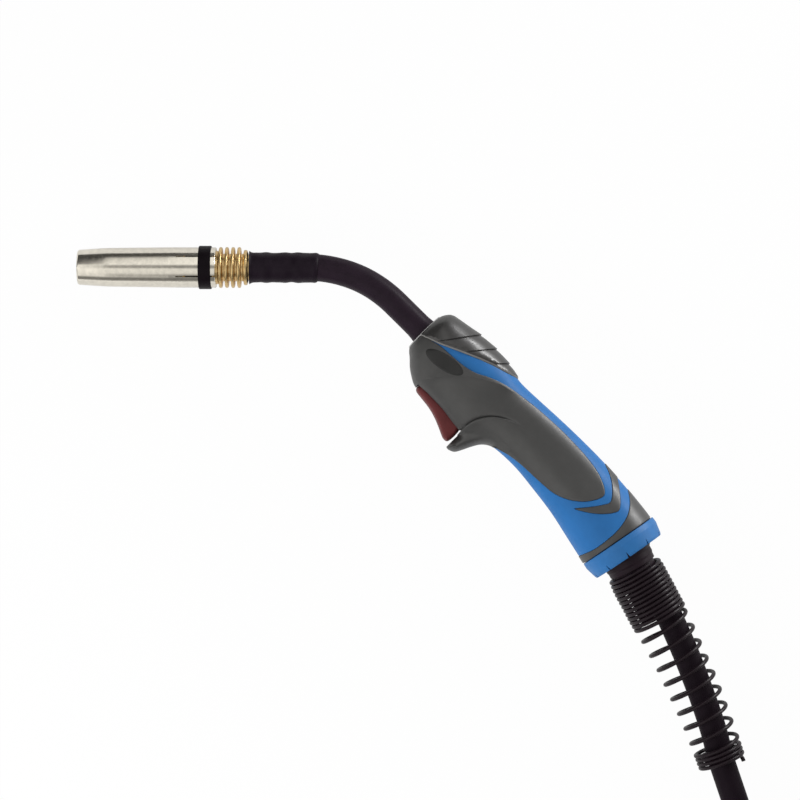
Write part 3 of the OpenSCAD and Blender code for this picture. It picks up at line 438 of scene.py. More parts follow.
CHEVRON = [(129.8, 24), (131.9, 21), (136.8, 19), (141.2, 16.6), (145.4, 13.2), (148.2, 10.2),
           (149.6, 8), (149.9, 6.4), (149.3, 4.6), (146.1, -0.3), (142.2, -5.4), (137.7, -10.9),
           (142.3, -8.6), (148.6, -4.2), (153.9, 1.1), (156.2, 4.4), (157, 6), (156.9, 7.6),
           (155.9, 9.3), (153.3, 12.1), (148.3, 16.4), (142.2, 21), (139.6, 24)]
CUFF = [(149, 24), (152, 20.2), (156.7, 16.6), (160, 13.2), (163.1, 7.5), (164.8, -1.3),
        (164.4, -10.8), (163, -19.9), (159.9, -28.6), (158, -36)]
COVER_EDGE = [(-3, -3.8), (1.9, -2.3), (12.1, 1.3), (22.8, 6.3), (35.3, 11.9), (44, 15.2),
              (52.3, 17.7), (59.5, 20.2), (65, 30)]
COVER_STEPS = [((9.2, 0.7), (27.2, 24.7)), ((25.2, 7.9), (39.3, 24.7)), ((43, 15.5), (51, 24.0))]
CREASE = [(18.4, -23.4), (22.5, -16.2), (29.4, -8), (37.2, -0.8), (46.1, 5), (53.6, 8.9),
          (62.6, 11.6)]
HOOK_LINE = [(57.2, -30), (57.3, -21.8), (59.2, -14.7), (64, -7.6), (71.9, -1.8), (80.8, 1.4)]
table = np.array(catmull(STATIONS, 16))


def section(x):
    """Top, bottom, half width and middle of the handle's section at x."""
    return [np.interp(x, table[:, 0], table[:, k]) for k in (1, 2, 3, 4)]


def skin(x, a, lift=0.0):
    """The point of the handle's surface at x and angle a from the widest line, as arrays."""
    def at(x, a):
        top, bottom, wide, mid = section(x)
        s, c = np.sin(a), np.cos(a)
        n = (np.abs(s) ** POWER + np.abs(c) ** POWER) ** (1 / POWER)
        high = np.where(s < 0, mid - bottom, top - mid)
        return np.stack([x + 0 * a, mid + high * s / n, wide * c / n], -1)

    e = 0.02
    p = at(x, a)
    normal = np.cross(at(x, a + e / AROUND) - at(x, a - e / AROUND),
                      at(np.maximum(x, 0) + e, a) - at(np.maximum(x - e, 0), a))
    normal /= -np.linalg.norm(normal, axis=-1, keepdims=True)
    return p + normal * np.asarray(lift)[..., None]


def angle_of(x, y):
    """The surface angle that is seen at (x, y) from the side; a little more beyond the edge."""
    top, bottom, wide, mid = section(x)
    high = np.where(y < mid, mid - bottom, top - mid)
    t = (y - mid) / high
    inner = np.clip(np.abs(t), 0, 1)
    a = np.sign(t) * np.arctan2(inner, (1 - inner ** POWER) ** (1 / POWER))
    return a + np.sign(t) * np.minimum(np.maximum(np.abs(t) - 1, 0) * 0.5, 0.08)


def dense(points, step=0.8, closed=False):
    """Points along a line, no further apart than the step."""
    p = np.array(list(points) + ([points[0]] if closed else []), float)
    out = []
    for a, b in zip(p, p[1:]):
        n = max(1, int(np.ceil(np.linalg.norm(b - a) / step)))
        out += [a + (b - a) * k / n for k in range(n)]
    return np.array(out if closed else out + [p[-1]])


def flat(points, smooth=0, closed=False):
    """A line seen from the side, laid out on the flattened surface."""
    p = dense(catmull(points, smooth) if smooth else points, 0.5, closed)
    q = np.stack([p[:, 0], angle_of(p[:, 0], p[:, 1]) * AROUND], -1)
    keep = [q[0]]
    for r in q[1:]:
        if np.linalg.norm(r - keep[-1]) > 0.35:
            keep.append(r)
    return dense(keep, 0.9, closed)


def away(points, line, closed=False):
    """Distance of each point from a line of points."""
    a = np.array(line)
    b = np.roll(a, -1, 0) if closed else a[1:]
    a = a if closed else a[:-1]
    best = np.full(len(points), 1e9)
    for p, q in zip(a, b):
        d = q - p
        t = np.clip(((points - p) @ d) / max(d @ d, 1e-12), 0, 1)
        best = np.minimum(best, np.linalg.norm(points - p - t[:, None] * d, axis=1))
    return best


def within(points, ring):
    """Which points lie inside a closed line."""
    x, y = points[:, 0], points[:, 1]
    inside = np.zeros(len(points), bool)
    for (x1, y1), (x2, y2) in zip(ring, np.roll(ring, -1, 0)):
        if y1 != y2:
            hit = ((y1 > y) != (y2 > y)) & (x < (x2 - x1) * (y - y1) / (y2 - y1) + x1)
            inside ^= hit
    return inside


def beside(line, offsets, closed=False):
    """Rows of points at distances to both sides of a line."""
    p = np.array(line)
    if closed:
        d = np.roll(p, -1, 0) - np.roll(p, 1, 0)
    else:
        d = np.gradient(p, axis=0)
    d /= np.linalg.norm(d, axis=1, keepdims=True) + 1e-12
    side = np.stack([-d[:, 1], d[:, 0]], -1)
    return [p + side * o for k in offsets for o in (k, -k)]


def triangles(lines, rows, ring, step):
    """A fine triangle mesh of the flat area in a ring, with the lines as its edges."""
    xs = np.arange(ring[:, 0].min(), ring[:, 0].max() + step, step)
    ys = np.arange(ring[:, 1].min(), ring[:, 1].max() + step, step * 0.866)
    grid = np.array([(x + (j % 2) * step / 2, y) for j, y in enumerate(ys) for x in xs])
    near = np.full(len(grid), 1e9)
    for line, closed in lines:
        near = np.minimum(near, away(grid, line, closed))
    points, edges = [grid[near > step * 0.75]], []
    for line, closed in lines:
        for row in rows(line, closed):
            clear = np.full(len(row), 1e9)
            for other, shut in lines:
                clear = np.minimum(clear, away(row, other, shut))
            points.append(row[clear > 0.09])
    count = sum(len(p) for p in points)
    for line, closed in lines:
        n = len(line)
        edges += [(count + k, count + (k + 1) % n) for k in range(n if closed else n - 1)]
        points.append(np.array(line))
        count += n
    verts, _, faces, *_ = delaunay_2d_cdt(
        [Vector(p) for p in np.concatenate(points)], edges, [], 0, 1e-4, False
    )
    v = np.array([tuple(p) for p in verts])
    f = np.array([tuple(t) for t in faces])
    middle = v[f].mean(1)
    return v, f[within(middle, ring)]


def slab(faces, top, bottom, open_edge=None):
    """A closed shell between two heights over the same faces; both are full vertex lists."""
    used = sorted({i for t in faces for i in t})
    index = {u: k for k, u in enumerate(used)}
    n = len(used)
    out, edges = [], {}
    for t in faces:
        t = [index[i] for i in t]
        out += [tuple(t), tuple(i + n for i in reversed(t))]
        edges.update(dict.fromkeys(zip(t, t[1:] + t[:1])))
    for p, q in edges:
        if (q, p) not in edges and not (open_edge and open_edge(used[p], used[q])):
            out.append((q, p, p + n, q + n))
    return list(top[used]) + list(bottom[used]), out


def rounded(d, r):
    """How far a rounded edge of radius r lies below the surface at distance d from its rim."""
    t = 1 - np.clip(d / r, 0, 1)
    return r * (1 - np.sqrt(1 - t * t))


def past_line(points, q):
    """Signed distance of q past the straight line between two points."""
    a, b = np.array(points, float)
    d = (b - a) / np.linalg.norm(b - a)
    return (q[:, 0] - a[0]) * d[1] - (q[:, 1] - a[1]) * d[0]


# The flattened left half: its rim, the slot for the trigger and the line at the collar
END_POINTS, GAP = 60, 0.45
ends = np.linspace(-pi / 2, pi / 2, END_POINTS)
rear = np.full(END_POINTS, 168.0)
for _ in range(8):  # settles on the collar's slanting face
    y = skin(rear, ends)[:, 1]
    rear = COLLAR_AT[0] - GAP + (y - COLLAR_AT[1]) * math.tan(rad(-COLLAR_YAW))
slot_x = np.linspace(SLOT_FROM, SLOT_TO, 50)
slot_side = section(slot_x)
share = (1 - (SLOT_HALF / slot_side[2]) ** POWER) ** (1 / POWER)
slot_a = np.arctan2(-share, SLOT_HALF / slot_side[2])
half, beyond = pi / 2 * AROUND, pi / 2 * AROUND + 3
rim = dense(
    [(0, -half), (SLOT_FROM, -half)] + list(zip(slot_x, slot_a * AROUND)) + [(SLOT_TO, -half)]
    + list(zip(rear, ends * AROUND)) + [(0, half)], 0.9, True)
pad_ring = np.concatenate([flat(PAD_RIM, 4), [(77, -beyond), (-3, -beyond)]])
chevron_ring = flat(catmull(CHEVRON + CHEVRON[:1], 3)[:-1], 0, True)
cuff_line = flat(CUFF, 3)
cuff_ring = np.concatenate([cuff_line, [(190, -beyond), (190, beyond)]])
cover_line = flat(COVER_EDGE, 0)
cover_ring = np.concatenate([cover_line, [(66, beyond), (-3, beyond)]])
cover_steps = [flat(s) for s in COVER_STEPS]
crease = flat(CREASE, 4)
hook_flat = flat(HOOK_LINE[1:], 5)
seams = [(rim, True), (pad_ring[:-2], False), (chevron_ring, True), (cuff_line, False),
         (cover_line, False)]
lines = seams + [(s, False) for s in cover_steps + [crease, hook_flat]]


def seam_rows(line, closed):
    """Rows of points close to a line, as fine as the shape beside it needs."""
    offsets = (0.15, 0.35, 0.7)
    if line is rim:
        offsets = (0.2, 0.5)
    if any(line is s for s in cover_steps):
        offsets = (0.12, 0.6)
    if line is crease:
        offsets = (0.3, 0.9)
    if line is hook_flat:
        offsets = (0.3, 0.6, 1.0)
    return beside(line, offsets, closed)


flat_v, flat_f = triangles(lines, seam_rows, rim, 1.5)
flat_x, flat_a = flat_v[:, 0], flat_v[:, 1]  # along, and round in AROUND millimetres
flat_x[:] = np.maximum(flat_x, 0)
on_parting = np.abs(np.abs(flat_a) - half) < 1e-3
middle = flat_v[flat_f].mean(1)
in_cover = within(middle, cover_ring)
in_pad = within(middle, pad_ring) & ~in_cover
in_chevron = within(middle, chevron_ring) & ~in_cover & ~in_pad
in_cuff = within(middle, cuff_ring)
in_soft = in_cover | in_pad | in_chevron | in_cuff
side_on = skin(flat_x, flat_a / AROUND)[:, :2]
ventral = flat_a < 0
REACH, HAIR = 4, 0.01  # how far in front of the slot and behind it points are held off it
beside_slot = ventral & (np.abs(flat_x - (SLOT_FROM + SLOT_TO) / 2)
                         < (SLOT_TO - SLOT_FROM) / 2 - HAIR)
behind_slot = ventral & (np.abs(flat_x - SLOT_TO - REACH) < REACH + HAIR)
before_slot = ventral & (np.abs(flat_x - SLOT_FROM + REACH) < REACH + HAIR)
edge_chevron = away(flat_v, chevron_ring, True)
edge_cover, cuff_front = away(flat_v, cover_line), away(flat_v, cuff_line)
edge_pad = np.minimum(away(flat_v, pad_ring[:-2]), edge_cover)
edge_cuff = np.minimum(cuff_front, away(flat_v, rim, True) + 9 * (flat_x < 150))
edge_any = np.minimum.reduce([edge_pad, edge_chevron, cuff_front, edge_cover])
parting = 0.22 * np.exp(-((half - np.abs(flat_a)) / 0.35) ** 2)

FOLD_HIGH, FOLD_BELOW, FOLD_ABOVE = 1.9, 3.6, 9  # and how gently it runs out on each side
GROOVE_DEEP, GROOVE_WIDE = 0.75, 0.75
STEP_UP, STEP_DOWN = 0.6, 0.32  # of the cover's three steps
crease_xy = np.array(catmull(CREASE, 6))
groove_xy = np.array(catmull(HOOK_LINE, 8))


def fold_at(q):
    """The fold across the head, which fades out at both ends, and the groove over the hook."""
    d = away(q, crease_xy)
    below = q[:, 1] < np.interp(q[:, 0], crease_xy[:, 0], crease_xy[:, 1])
    fade = np.clip((q[:, 0] - 11) / 13, 0, 1) * np.clip((70 - q[:, 0]) / 16, 0, 1)
    fold = FOLD_HIGH * fade * np.exp(-d / np.where(below, FOLD_BELOW, FOLD_ABOVE))
    deep = np.clip((84 - q[:, 0]) / 16, 0, 1)
    return fold - GROOVE_DEEP * deep * np.exp(-(away(q, groove_xy) / GROOVE_WIDE) ** 2)


pad_top = PROUD + fold_at(side_on) - rounded(edge_pad, 0.5) - parting
chevron_top = PROUD - rounded(edge_chevron, 0.4) - parting
cuff_top = PROUD - rounded(edge_cuff, 0.5) - parting
shell_top = -rounded(edge_any, 0.3) - parting
cover_top = 0.35 + 0.8 * np.clip(flat_x / 6, 0, 1)
for line in COVER_STEPS:
    q = past_line(line, side_on)
    q = np.where(np.abs(q) < 0.03, -0.03, q)
    cover_top += np.where(q < 0, STEP_UP * np.exp(q / 5.5), -STEP_DOWN * np.exp(-q / 2.2))
cover_top = np.minimum(cover_top, 0.2 + edge_cover * 0.85) - rounded(edge_cover, 0.2)

soft_vertex = np.zeros(len(flat_v), bool)
soft_vertex[np.unique(flat_f[in_soft])] = True
blue_vertex = np.zeros(len(flat_v), bool)
blue_vertex[np.unique(flat_f[~in_soft])] = True
shell_top = np.where(soft_vertex & ~blue_vertex, -LET_IN - 0.1, shell_top)

SCREWS = [(63, -13.5), (84, 13.6), (112, -14.6), (126, 13.8), (150, -21.5)]


def surface_slab(name, pick, top, side, slot, hides=(), look=None, low=-LET_IN):
    """A piece of the handle's skin on one side (1 left, -1 right) or on both (0)."""
    sheets = [skin(flat_x, flat_a / AROUND, lift) for lift in (top, low)]
    for p in sheets:
        p[beside_slot, 2] = np.maximum(p[beside_slot, 2], SLOT_HALF)
        p[behind_slot, 0] = np.maximum(p[behind_slot, 0], SLOT_TO)
        p[before_slot, 0] = np.minimum(p[before_slot, 0], SLOT_FROM)
        p[on_parting, 2] = 0.02 if side else 0
    shut = None if side else lambda a, b: on_parting[a] and on_parting[b]
    v, f = slab(flat_f[pick], *sheets, shut)
    if side < 1:  # the other side is the mirror image
        n = 0 if side else len(v)
        mirrored = [(x, y, -z) for x, y, z in v]
        turned_over = [tuple(i + n for i in reversed(t)) for t in f]
        v, f = (mirrored, turned_over) if side else (v + mirrored, f + turned_over)
    o = mesh(name, v, f, "handle", slot, TORCH, hides, look, 32)
    if side == 0:
        clean(o.data, join=1e-7)
    return o


def cut(piece, *cutters):
    """Takes closed cutter objects out of a piece."""
    for c in cutters:
        mod = piece.modifiers.new("cut", "BOOLEAN")
        mod.operation, mod.solver, mod.object = "DIFFERENCE", "EXACT", c
        bpy.context.view_layer.objects.active = piece
        bpy.context.view_layer.update()
        done = bpy.data.meshes.new_from_object(piece.evaluated_get(
            bpy.context.evaluated_depsgraph_get()))
        piece.modifiers.clear()
        piece.data = done
        bpy.data.objects.remove(c)
    piece.data.shade_smooth()
    piece.data.set_sharp_from_angle(angle=rad(32))


def cutter(matrix, *prisms):
    """One object of closed prisms, each given by its outline at both ends."""
    v, f = [], []
    for near, far in prisms:
        f += [tuple(len(v) + i for i in t) for t in between(2, len(near))]
        v += near + far
    me = bpy.data.meshes.new("cutter")
    me.from_pydata([tuple(p) for p in v], [], f)
    me.transform(matrix)
    clean(me, outward=True)
    return placed("cutter", me)


def notch(piece, matrix, count, first, outline, near, far):
    """Cuts an (across, height) outline between two radii, repeated round a turned piece."""
    turns = [spin(first + TAU * k / count, 4, "Z") for k in range(count)]
    cut(piece, cutter(matrix, *[
        [[turn @ Vector((r, *p)) for p in outline] for r in (near, far)] for turn in turns]))


SCREW_HOLE_R, HOLE_FROM, HOLE_TO, HOLE_SIDES = 3.1, -40, -9, 32


def screw_hole(x, y):
    corners = [(x + SCREW_HOLE_R * cos(TAU * k / HOLE_SIDES),
                y + SCREW_HOLE_R * sin(TAU * k / HOLE_SIDES)) for k in range(HOLE_SIDES)]
    return cutter(TORCH, [[(*c, z) for c in corners] for z in (HOLE_FROM, HOLE_TO)])


everywhere = np.full(len(flat_f), True)
for side, word in ((1, "left"), (-1, "right")):
    shell = surface_slab(f"shell_{word}", everywhere, shell_top, side, "shell_blue",
                         [f"handle_shell_{word}"], low=-WALL)
    pad = surface_slab(f"grip_{word}", in_pad, pad_top, side, "pad_grey", [f"grip_pad_{word}"])
    surface_slab(f"chevron_{word}", in_chevron, chevron_top, side, "pad_grey")
    surface_slab(f"cuff_{word}", in_cuff, cuff_top, side, "pad_grey")
cut(shell, *[screw_hole(x, y) for x, y in SCREWS])
cut(pad, *[screw_hole(x, y) for x, y in SCREWS[:3]])
# The cover's bevel strip along its lower edge is coloured light grey as painted light, standing in
# for light on the tilted bevel.
in_lit_bevel = in_cover & (away(middle, cover_line) < 0.72)
surface_slab("grip_cover", in_cover & ~in_lit_bevel, cover_top, 0, "cover_grey", ["top_cover"])
surface_slab("cover_trim", in_lit_bevel, cover_top, 0, "cover_grey", look="trim_grey")


# ---- hook, trigger and badge
def plate(name, ring, height, step, body, slot, hides=()):
    """A piece seen from the side as a closed line, as thick on both sides as height says."""
    ring = dense(ring, 0.8, True)
    v, f = triangles([(ring, True)], lambda line, closed: beside(
        line, (0.15, 0.5, 1.1, 1.9), closed), ring, step)
    z = np.maximum(height(v), 0)
    turn = np.cross(v[f[:, 1]] - v[f[:, 0]], v[f[:, 2]] - v[f[:, 0]]) < 0
    f[turn] = f[turn][:, ::-1]
    o = mesh(name, *slab(f, np.column_stack([v, z]), np.column_stack([v, -z])), body, slot,
             TORCH, hides, sharp=40)
    clean(o.data, join=2e-6, crumbs=1e-7)


def dome(d, r, power=2.2):
    """0 at a rim and 1 from a distance r inside it, with a rounded shoulder."""
    t = 1 - np.clip(d / r, 0, 1)
    return (1 - t ** power) ** (1 / power)


HOOK = [(57.5, -29.7), (57.5, -38.4), (57.9, -39.2), (58.6, -39.5), (60.5, -39.2), (63.3, -37.6),
        (65.6, -33.6), (68, -28.6), (70.6, -24.2), (73.5, -21.4), (76.2, -19.9)]
hook_rim = np.array(catmull(HOOK, 4))
hook_ring = np.concatenate([hook_rim, [(80, -18.4), (86, -16.6), (87, -8), (85, -2)],
                            groove_xy[::-1][:-1]])


def body_side(q, lift):
    """Half the handle's width where it is seen from the side at q; negative outside it."""
    top, bottom, wide, mid = section(q[:, 0])
    y = q[:, 1]
    high = np.where(y < mid, mid - bottom, top - mid) + lift
    t = np.abs((y - mid) / high)
    z = (wide + lift) * np.clip(1 - t ** POWER, 0, 1) ** (1 / POWER)
    return np.where(t < 1, z, -6 * (t - 1))


def hook_height(q):
    """The hook's own thickness, run softly into the handle's side behind the groove."""
    d_rim, d_line = away(q, hook_rim), away(q, groove_xy)
    y = q[:, 1]
    thick = np.interp(y, [-40, -38, -35, -31, -25, -18, -10], [5.6, 7.2, 8.4, 9.2, 10, 11, 11.5])
    own = thick * dome(d_rim, 5.5)
    fade = np.clip((81 - q[:, 0]) / 19, 0, 1) * np.clip((-2 - y) / 10 + 1, 0, 1)
    lift = PROUD + 0.75 * fade * np.exp(-d_line / 9) - rounded(d_line, 0.9) * fade - 0.1
    base = body_side(q, 0) + lift
    k = 3.2  # how softly the two run together
    h = np.clip(0.5 + 0.5 * (own - base) / k, 0, 1)
    mixed = own * h + base * (1 - h) + k * h * (1 - h)
    return np.minimum(mixed, 40 * d_rim + own)


plate("finger_hook", hook_ring, hook_height, 1.3, "handle", "pad_grey")

TRIGGER = [(19.9, -24.1), (19.75, -26.6), (20.6, -28), (22.4, -28.8), (28, -29.4), (34, -30.2),
           (40, -31.8), (46, -34.2), (50.4, -36.2), (52.6, -37), (54.8, -36.9), (55.9, -35.7),
           (56.35, -33), (56.35, -29.5), (55.9, -26), (55.2, -23.2), (53.6, -22.3),
           (40, -22.1), (24, -22), (20.4, -22.6)]
trigger_ring = dense(catmull(TRIGGER + TRIGGER[:1], 4)[:-1], 0.8, True)


TRIGGER_HALF, TRIGGER_ROUND = 8.8, 2.4  # half its width, and its edges' radius


def trigger_height(q):
    d = away(q, trigger_ring, True)
    return TRIGGER_HALF * dome(d, TRIGGER_ROUND, 2.0) + 0.25 * np.clip((d - 2) / 4, 0, 1)


plate("trigger_lever", trigger_ring, trigger_height, 1.4, "trigger", "trigger_red", ["trigger"])

# Oval badge on the left side, bare
BADGE_AT, BADGE_LONG, BADGE_WIDE, BADGE_DIR = (21.5, -4.3), 12.95, 4.6, (0.977, 0.211)
RINGS, SPOKES = 9, 72
q = []
for k in range(RINGS + 1):
    r = (k / RINGS) ** 0.8
    for j in range(SPOKES if k else 1):
        a = TAU * j / SPOKES
        u, w = r * BADGE_LONG * cos(a), r * BADGE_WIDE * sin(a)
        q.append((BADGE_AT[0] + u * BADGE_DIR[0] - w * BADGE_DIR[1],
                  BADGE_AT[1] + u * BADGE_DIR[1] + w * BADGE_DIR[0]))
q = np.array(q)
rise = np.full(len(q), 0.25)
rise[-SPOKES:] = 0.08
top, low = (skin(q[:, 0], angle_of(q[:, 0], q[:, 1]), PROUD + fold_at(q) + lift)
            for lift in (rise, -0.4))
f = [(0, 1 + j, 1 + (j + 1) % SPOKES) for j in range(SPOKES)]
for s in range(1, len(q) - SPOKES, SPOKES):
    t = s + SPOKES
    f += [(s + j, t + j, t + (j + 1) % SPOKES, s + (j + 1) % SPOKES) for j in range(SPOKES)]
mesh("badge", *slab(f, top, low), "handle", "black_plastic", TORCH, look="badge_black")

# ---- inside the handle's openings
# Front rim with its thin edge, coloured pale grey as a painted highlight, and the bore round the
# neck
turned("front_rim", [(10.2, 0.15, 0.2), (12.55, 0.15, 0.1), (12.9, 0.75, 0.1), (12.2, 2.2),
                     (11.6, 8), (11.6, 12), (10.2, 12)], "handle", "pad_grey", SWIVEL)
# The rim's edge is coloured pale grey as a painted highlight, in place of the light mirrored by the
# chamfer.
turned("rim_edge", [(12.0, -0.85, 0.1), (12.8, -0.85, 0.2), (13.2, 0.32, 0.05), (12.0, 0.3)],
       "handle", "pad_grey", SWIVEL, look="rim_grey")

# The trigger's pocket: a channel whose edges follow the handle's underside
wall, tuck = 0.5, 0.35
xs = np.linspace(SLOT_FROM - wall, SLOT_TO + wall, 30)
sect = section(xs)
low = sect[3] - (sect[3] - sect[1]) * (1 - (SLOT_HALF / sect[2]) ** POWER) ** (1 / POWER) + tuck
z, top = SLOT_HALF, SLOT_TOP
v = []
for x, y in zip(xs, low):
    v += [(x, y, -z), (x, top, -z), (x, top, z), (x, y, z), (x, y, z + wall),
          (x, top + wall, z + wall), (x, top + wall, -z - wall), (x, y, -z - wall)]
mesh("trigger_pocket", v, between(len(xs), 8), "handle", "pad_grey", TORCH)

for k, ((x, y), z) in enumerate(zip(SCREWS, body_side(np.array(SCREWS), 0))):
    m = TORCH @ shift((x, y, 0)) @ spin(pi, 4, "X")
    turned(f"screw_well_{k + 1}", [(1.7, 6.9), (3.6, 6.9), (3.6, z - 1.3), (3.05, z - 1.3),
                                   (3.05, 7.6), (1.7, 7.6)], "handle", "pad_grey", m, n=48)
    turned(f"screw_{k + 1}", [(0, 9.0), (1.0, 9.0), (1.3, 9.5, 0.1), (2.6, 9.5, 0.4),
                              (2.8, 8.2, 0.2), (2.8, 7.5), (0, 7.5)], "handle", "steel", m,
           [] if k else ["handle_screws"], n=48)

# ---- collar, ball and sleeve
collar = turned("collar", [
    (22.5, 0.0, 0.2), (COLLAR_D / 2 - 0.25, 0.0, 0.5), (COLLAR_D / 2 - 0.1, 3.5, 2),
    (COLLAR_REAR_D / 2 + 0.1, COLLAR_LEN - 1.2, 0.5), (COLLAR_REAR_D / 2 - 0.5, COLLAR_LEN, 0.4),
    (20.9, COLLAR_LEN, 0.3), (20.2, COLLAR_LEN - 2, 0.5), (19.9, 6), (22.5, 4)],
    "handle", "shell_blue", COLLAR, ["rear_collar"], "collar_blue", 192)
deep = COLLAR_LEN - 3.4
notch(collar, COLLAR, 10, rad(1.08), [
    (-0.75, COLLAR_LEN + 1), (0.75, COLLAR_LEN + 1), (0.1, deep), (-0.1, deep)], 18, 27)
turned("collar_seat", [
    (19.2, -3), (23.3, -3), (23.3, 0.4), (22.4, 0.4), (22.4, 3.6), (19.2, 3.6)],
    "handle", "black_plastic", COLLAR, look="sleeve_black")

BALL_R, CABLE_BORE = 18.5, 8.02
ball = [(BALL_R * cos(rad(a)), BALL_R * sin(rad(a))) for a in range(-36, 33, 4)]
turned("ball_sleeve", [(13.2, -11), (14.8, -11, 0.3)] + ball + [
    (SLEEVE_D / 2, 10.4, 1), (SLEEVE_D / 2, 13.6, 0.5), (SLEEVE_D / 2 - 0.5, 14.8, 0.5),
    (SLEEVE_D / 2 - 0.5, 17.4, 0.4), (13.5, 17.6), (13.5, 29, 0.6), (CABLE_BORE, 29, 0.4),
    (CABLE_BORE, 8)], "hose", "black_plastic", ALONG, ["cable_support"], "sleeve_black")

# ---- kink-protection spring
WIRE_R, WIRE_STEPS = 1.24, 40  # the steps to a turn
EARLY, LATE = 1.6, 1.15  # turns that grip the sleeve and crowd at the end


def wire_at(u):
    """The wire's distance along the cable after u turns."""
    return (SPRING_FROM + TIGHT_PITCH * min(u, TIGHT_TURNS)
            + OPEN_PITCH * min(max(u - TIGHT_TURNS, 0), OPEN_TURNS)
            + TIGHT_PITCH * max(u - TIGHT_TURNS - OPEN_TURNS, 0))


def wire_r(u):
    """The wire's distance from the cable's centre line after u turns."""
    tight, open_, end = ((d - SPRING_WIRE) / 2 for d in (
        SPRING_TIGHT_D, SPRING_OPEN_D, SPRING_END_D))
    if u < TIGHT_TURNS - 0.5:  # the first turns narrow to grip the sleeve
        return tight - 0.9 * (1 - min(1, (u + EARLY) / 3)) ** 2
    mix = min(1, u - TIGHT_TURNS + 0.5)
    mix = mix * mix * (3 - 2 * mix)
    later = open_ + (end - open_) * min(1, max(0, u - TIGHT_TURNS) / OPEN_TURNS)
    later -= 0.4 * min(1, max(0, u - SPRING_TURNS))
    return tight + (later - tight) * mix


path, ups = [], []
for k in range(-int(WIRE_STEPS * EARLY), int(WIRE_STEPS * (SPRING_TURNS + LATE)) + 1):
    u = k / WIRE_STEPS
    s, a = wire_at(u), TAU * u
    wobble = 0.12 * sin(1.7 * u) if u > TIGHT_TURNS else 0.05 * sin(5.1 * u)
    path.append(line_at(s) + (wire_r(u) + wobble) * (
        sin(a) * line_side(s) - Vector((0, 0, cos(a)))))
    ups.append(line_dir(s))
stub = (path[-1] - path[-2]).normalized()
for k in range(1, 9):  # the wire's cut end points away along the cable
    turn = k / 8
    path.append(path[-1] + (stub * (1 - turn) + line_dir(s) * turn).normalized() * 0.75)
    ups.append(line_side(s))
mesh("kink_spring", *tube(path, WIRE_R, 14, ups), "hose", "spring_black", SUPPORT,
     ["support_spring"], sharp=40)

# ---- neck
HOSE_R, HOSE_FLARE, HOSE_BORE_R, HOSE_SIDES = 8.1, 1.1, 6.5, 72
HOSE_REAR, HOSE_FRONT, HOSE_STEP = 8.0, NECK_FRONT - 1, 1.5
hose = [Vector((x, 0, 0)) for x in np.linspace(
    HOSE_REAR, -NECK_STRAIGHT, int((HOSE_REAR + NECK_STRAIGHT) / HOSE_STEP))]
hose += [Vector((-NECK_STRAIGHT - BEND_R * sin(a), -BEND_R * (1 - cos(a)), 0))
         for a in np.linspace(0, rad(NECK_BEND), 44)[1:]]
along = Vector((-cos(rad(NECK_BEND)), -sin(rad(NECK_BEND)), 0))
hose += [Vector((CORNER_X, 0, 0)) + along * d for d in np.linspace(
    BEND_RUN, HOSE_FRONT, int((HOSE_FRONT - BEND_RUN) / HOSE_STEP))[1:]]
radii = []
for p in hose:
    flare = min(1, max(0, (p.x + 7) / 12))
    radii.append(HOSE_R + HOSE_FLARE * flare * flare * (3 - 2 * flare))
skin_v, f = tube(hose, radii, HOSE_SIDES)
bore_v = tube(hose, HOSE_BORE_R, HOSE_SIDES)[0]
n, c = HOSE_SIDES, len(skin_v)
end = c - n
f = f[:-2] + [tuple(c + i for i in reversed(t)) for t in f[:-2]]
f += [((k + 1) % n, k, c + k, c + (k + 1) % n) for k in range(n)]
f += [(end + k, end + (k + 1) % n, c + end + (k + 1) % n, c + end + k) for k in range(n)]
moved = wavy(skin_v, 26, 0.22, 11)
for i in range(c):  # shallow lengthwise ridges, as a hose shows over its braid
    row, a = i // n, TAU * (i % n) / n
    bump = 0.09 * noise.noise(Vector((4 * cos(a), 4 * sin(a), row * 0.02)))
    moved[i] = moved[i] + (moved[i] - hose[row]).normalized() * bump
mesh("neck_hose_skin", moved + bore_v, f, "neck", "black_hose", TORCH, ["neck_hose"], "hose_black")

SLEEVE_FROM, SLEEVE_TO, SLEEVE_ROWS = 25.2, NECK_FRONT, 60
profile = []
for k in range(SLEEVE_ROWS + 1):
    z = SLEEVE_FROM + (SLEEVE_TO - SLEEVE_FROM) * (k / SLEEVE_ROWS)
    r = 9.02 + 0.14 * sin(TAU * (z - 25) / 10.3 + 1) + 0.07 * sin(TAU * z / 6.1)
    r -= 0.75 * max(0, 1 - (z - SLEEVE_FROM) / 2.4) ** 2
    r += 0.9 * max(0, 1 - (SLEEVE_TO - z) / 2.6) ** 2
    profile.append((r, z))
profile += [(8.4, SLEEVE_TO + 0.05), (8.05, SLEEVE_TO - 1), (8.05, SLEEVE_FROM + 0.1)]
v, f = lathe(profile, 72)
shrunk = []
for p in v:
    q = Vector(p)
    if q.xy.length > 8.3 and BEND_RUN - 6 < q.z:
        d = noise.noise(q / 5.2 + Vector((3, 7, 1))) * 0.26 + noise.noise(q / 11) * 0.22
        q.xy *= 1 + d / q.xy.length
    if q.z < BEND_RUN:  # it starts on the bend, to whose inside Y points here
        a, r = (BEND_RUN - q.z) / BEND_R, BEND_R - q.y
        q = Vector((q.x, BEND_R - r * cos(a), BEND_RUN - r * sin(a)))
    shrunk.append(q)
mesh("shrink_sleeve", shrunk, f, "neck", "black_hose", NOZZLE, ["neck_sleeve"], "shrink_black", 40)

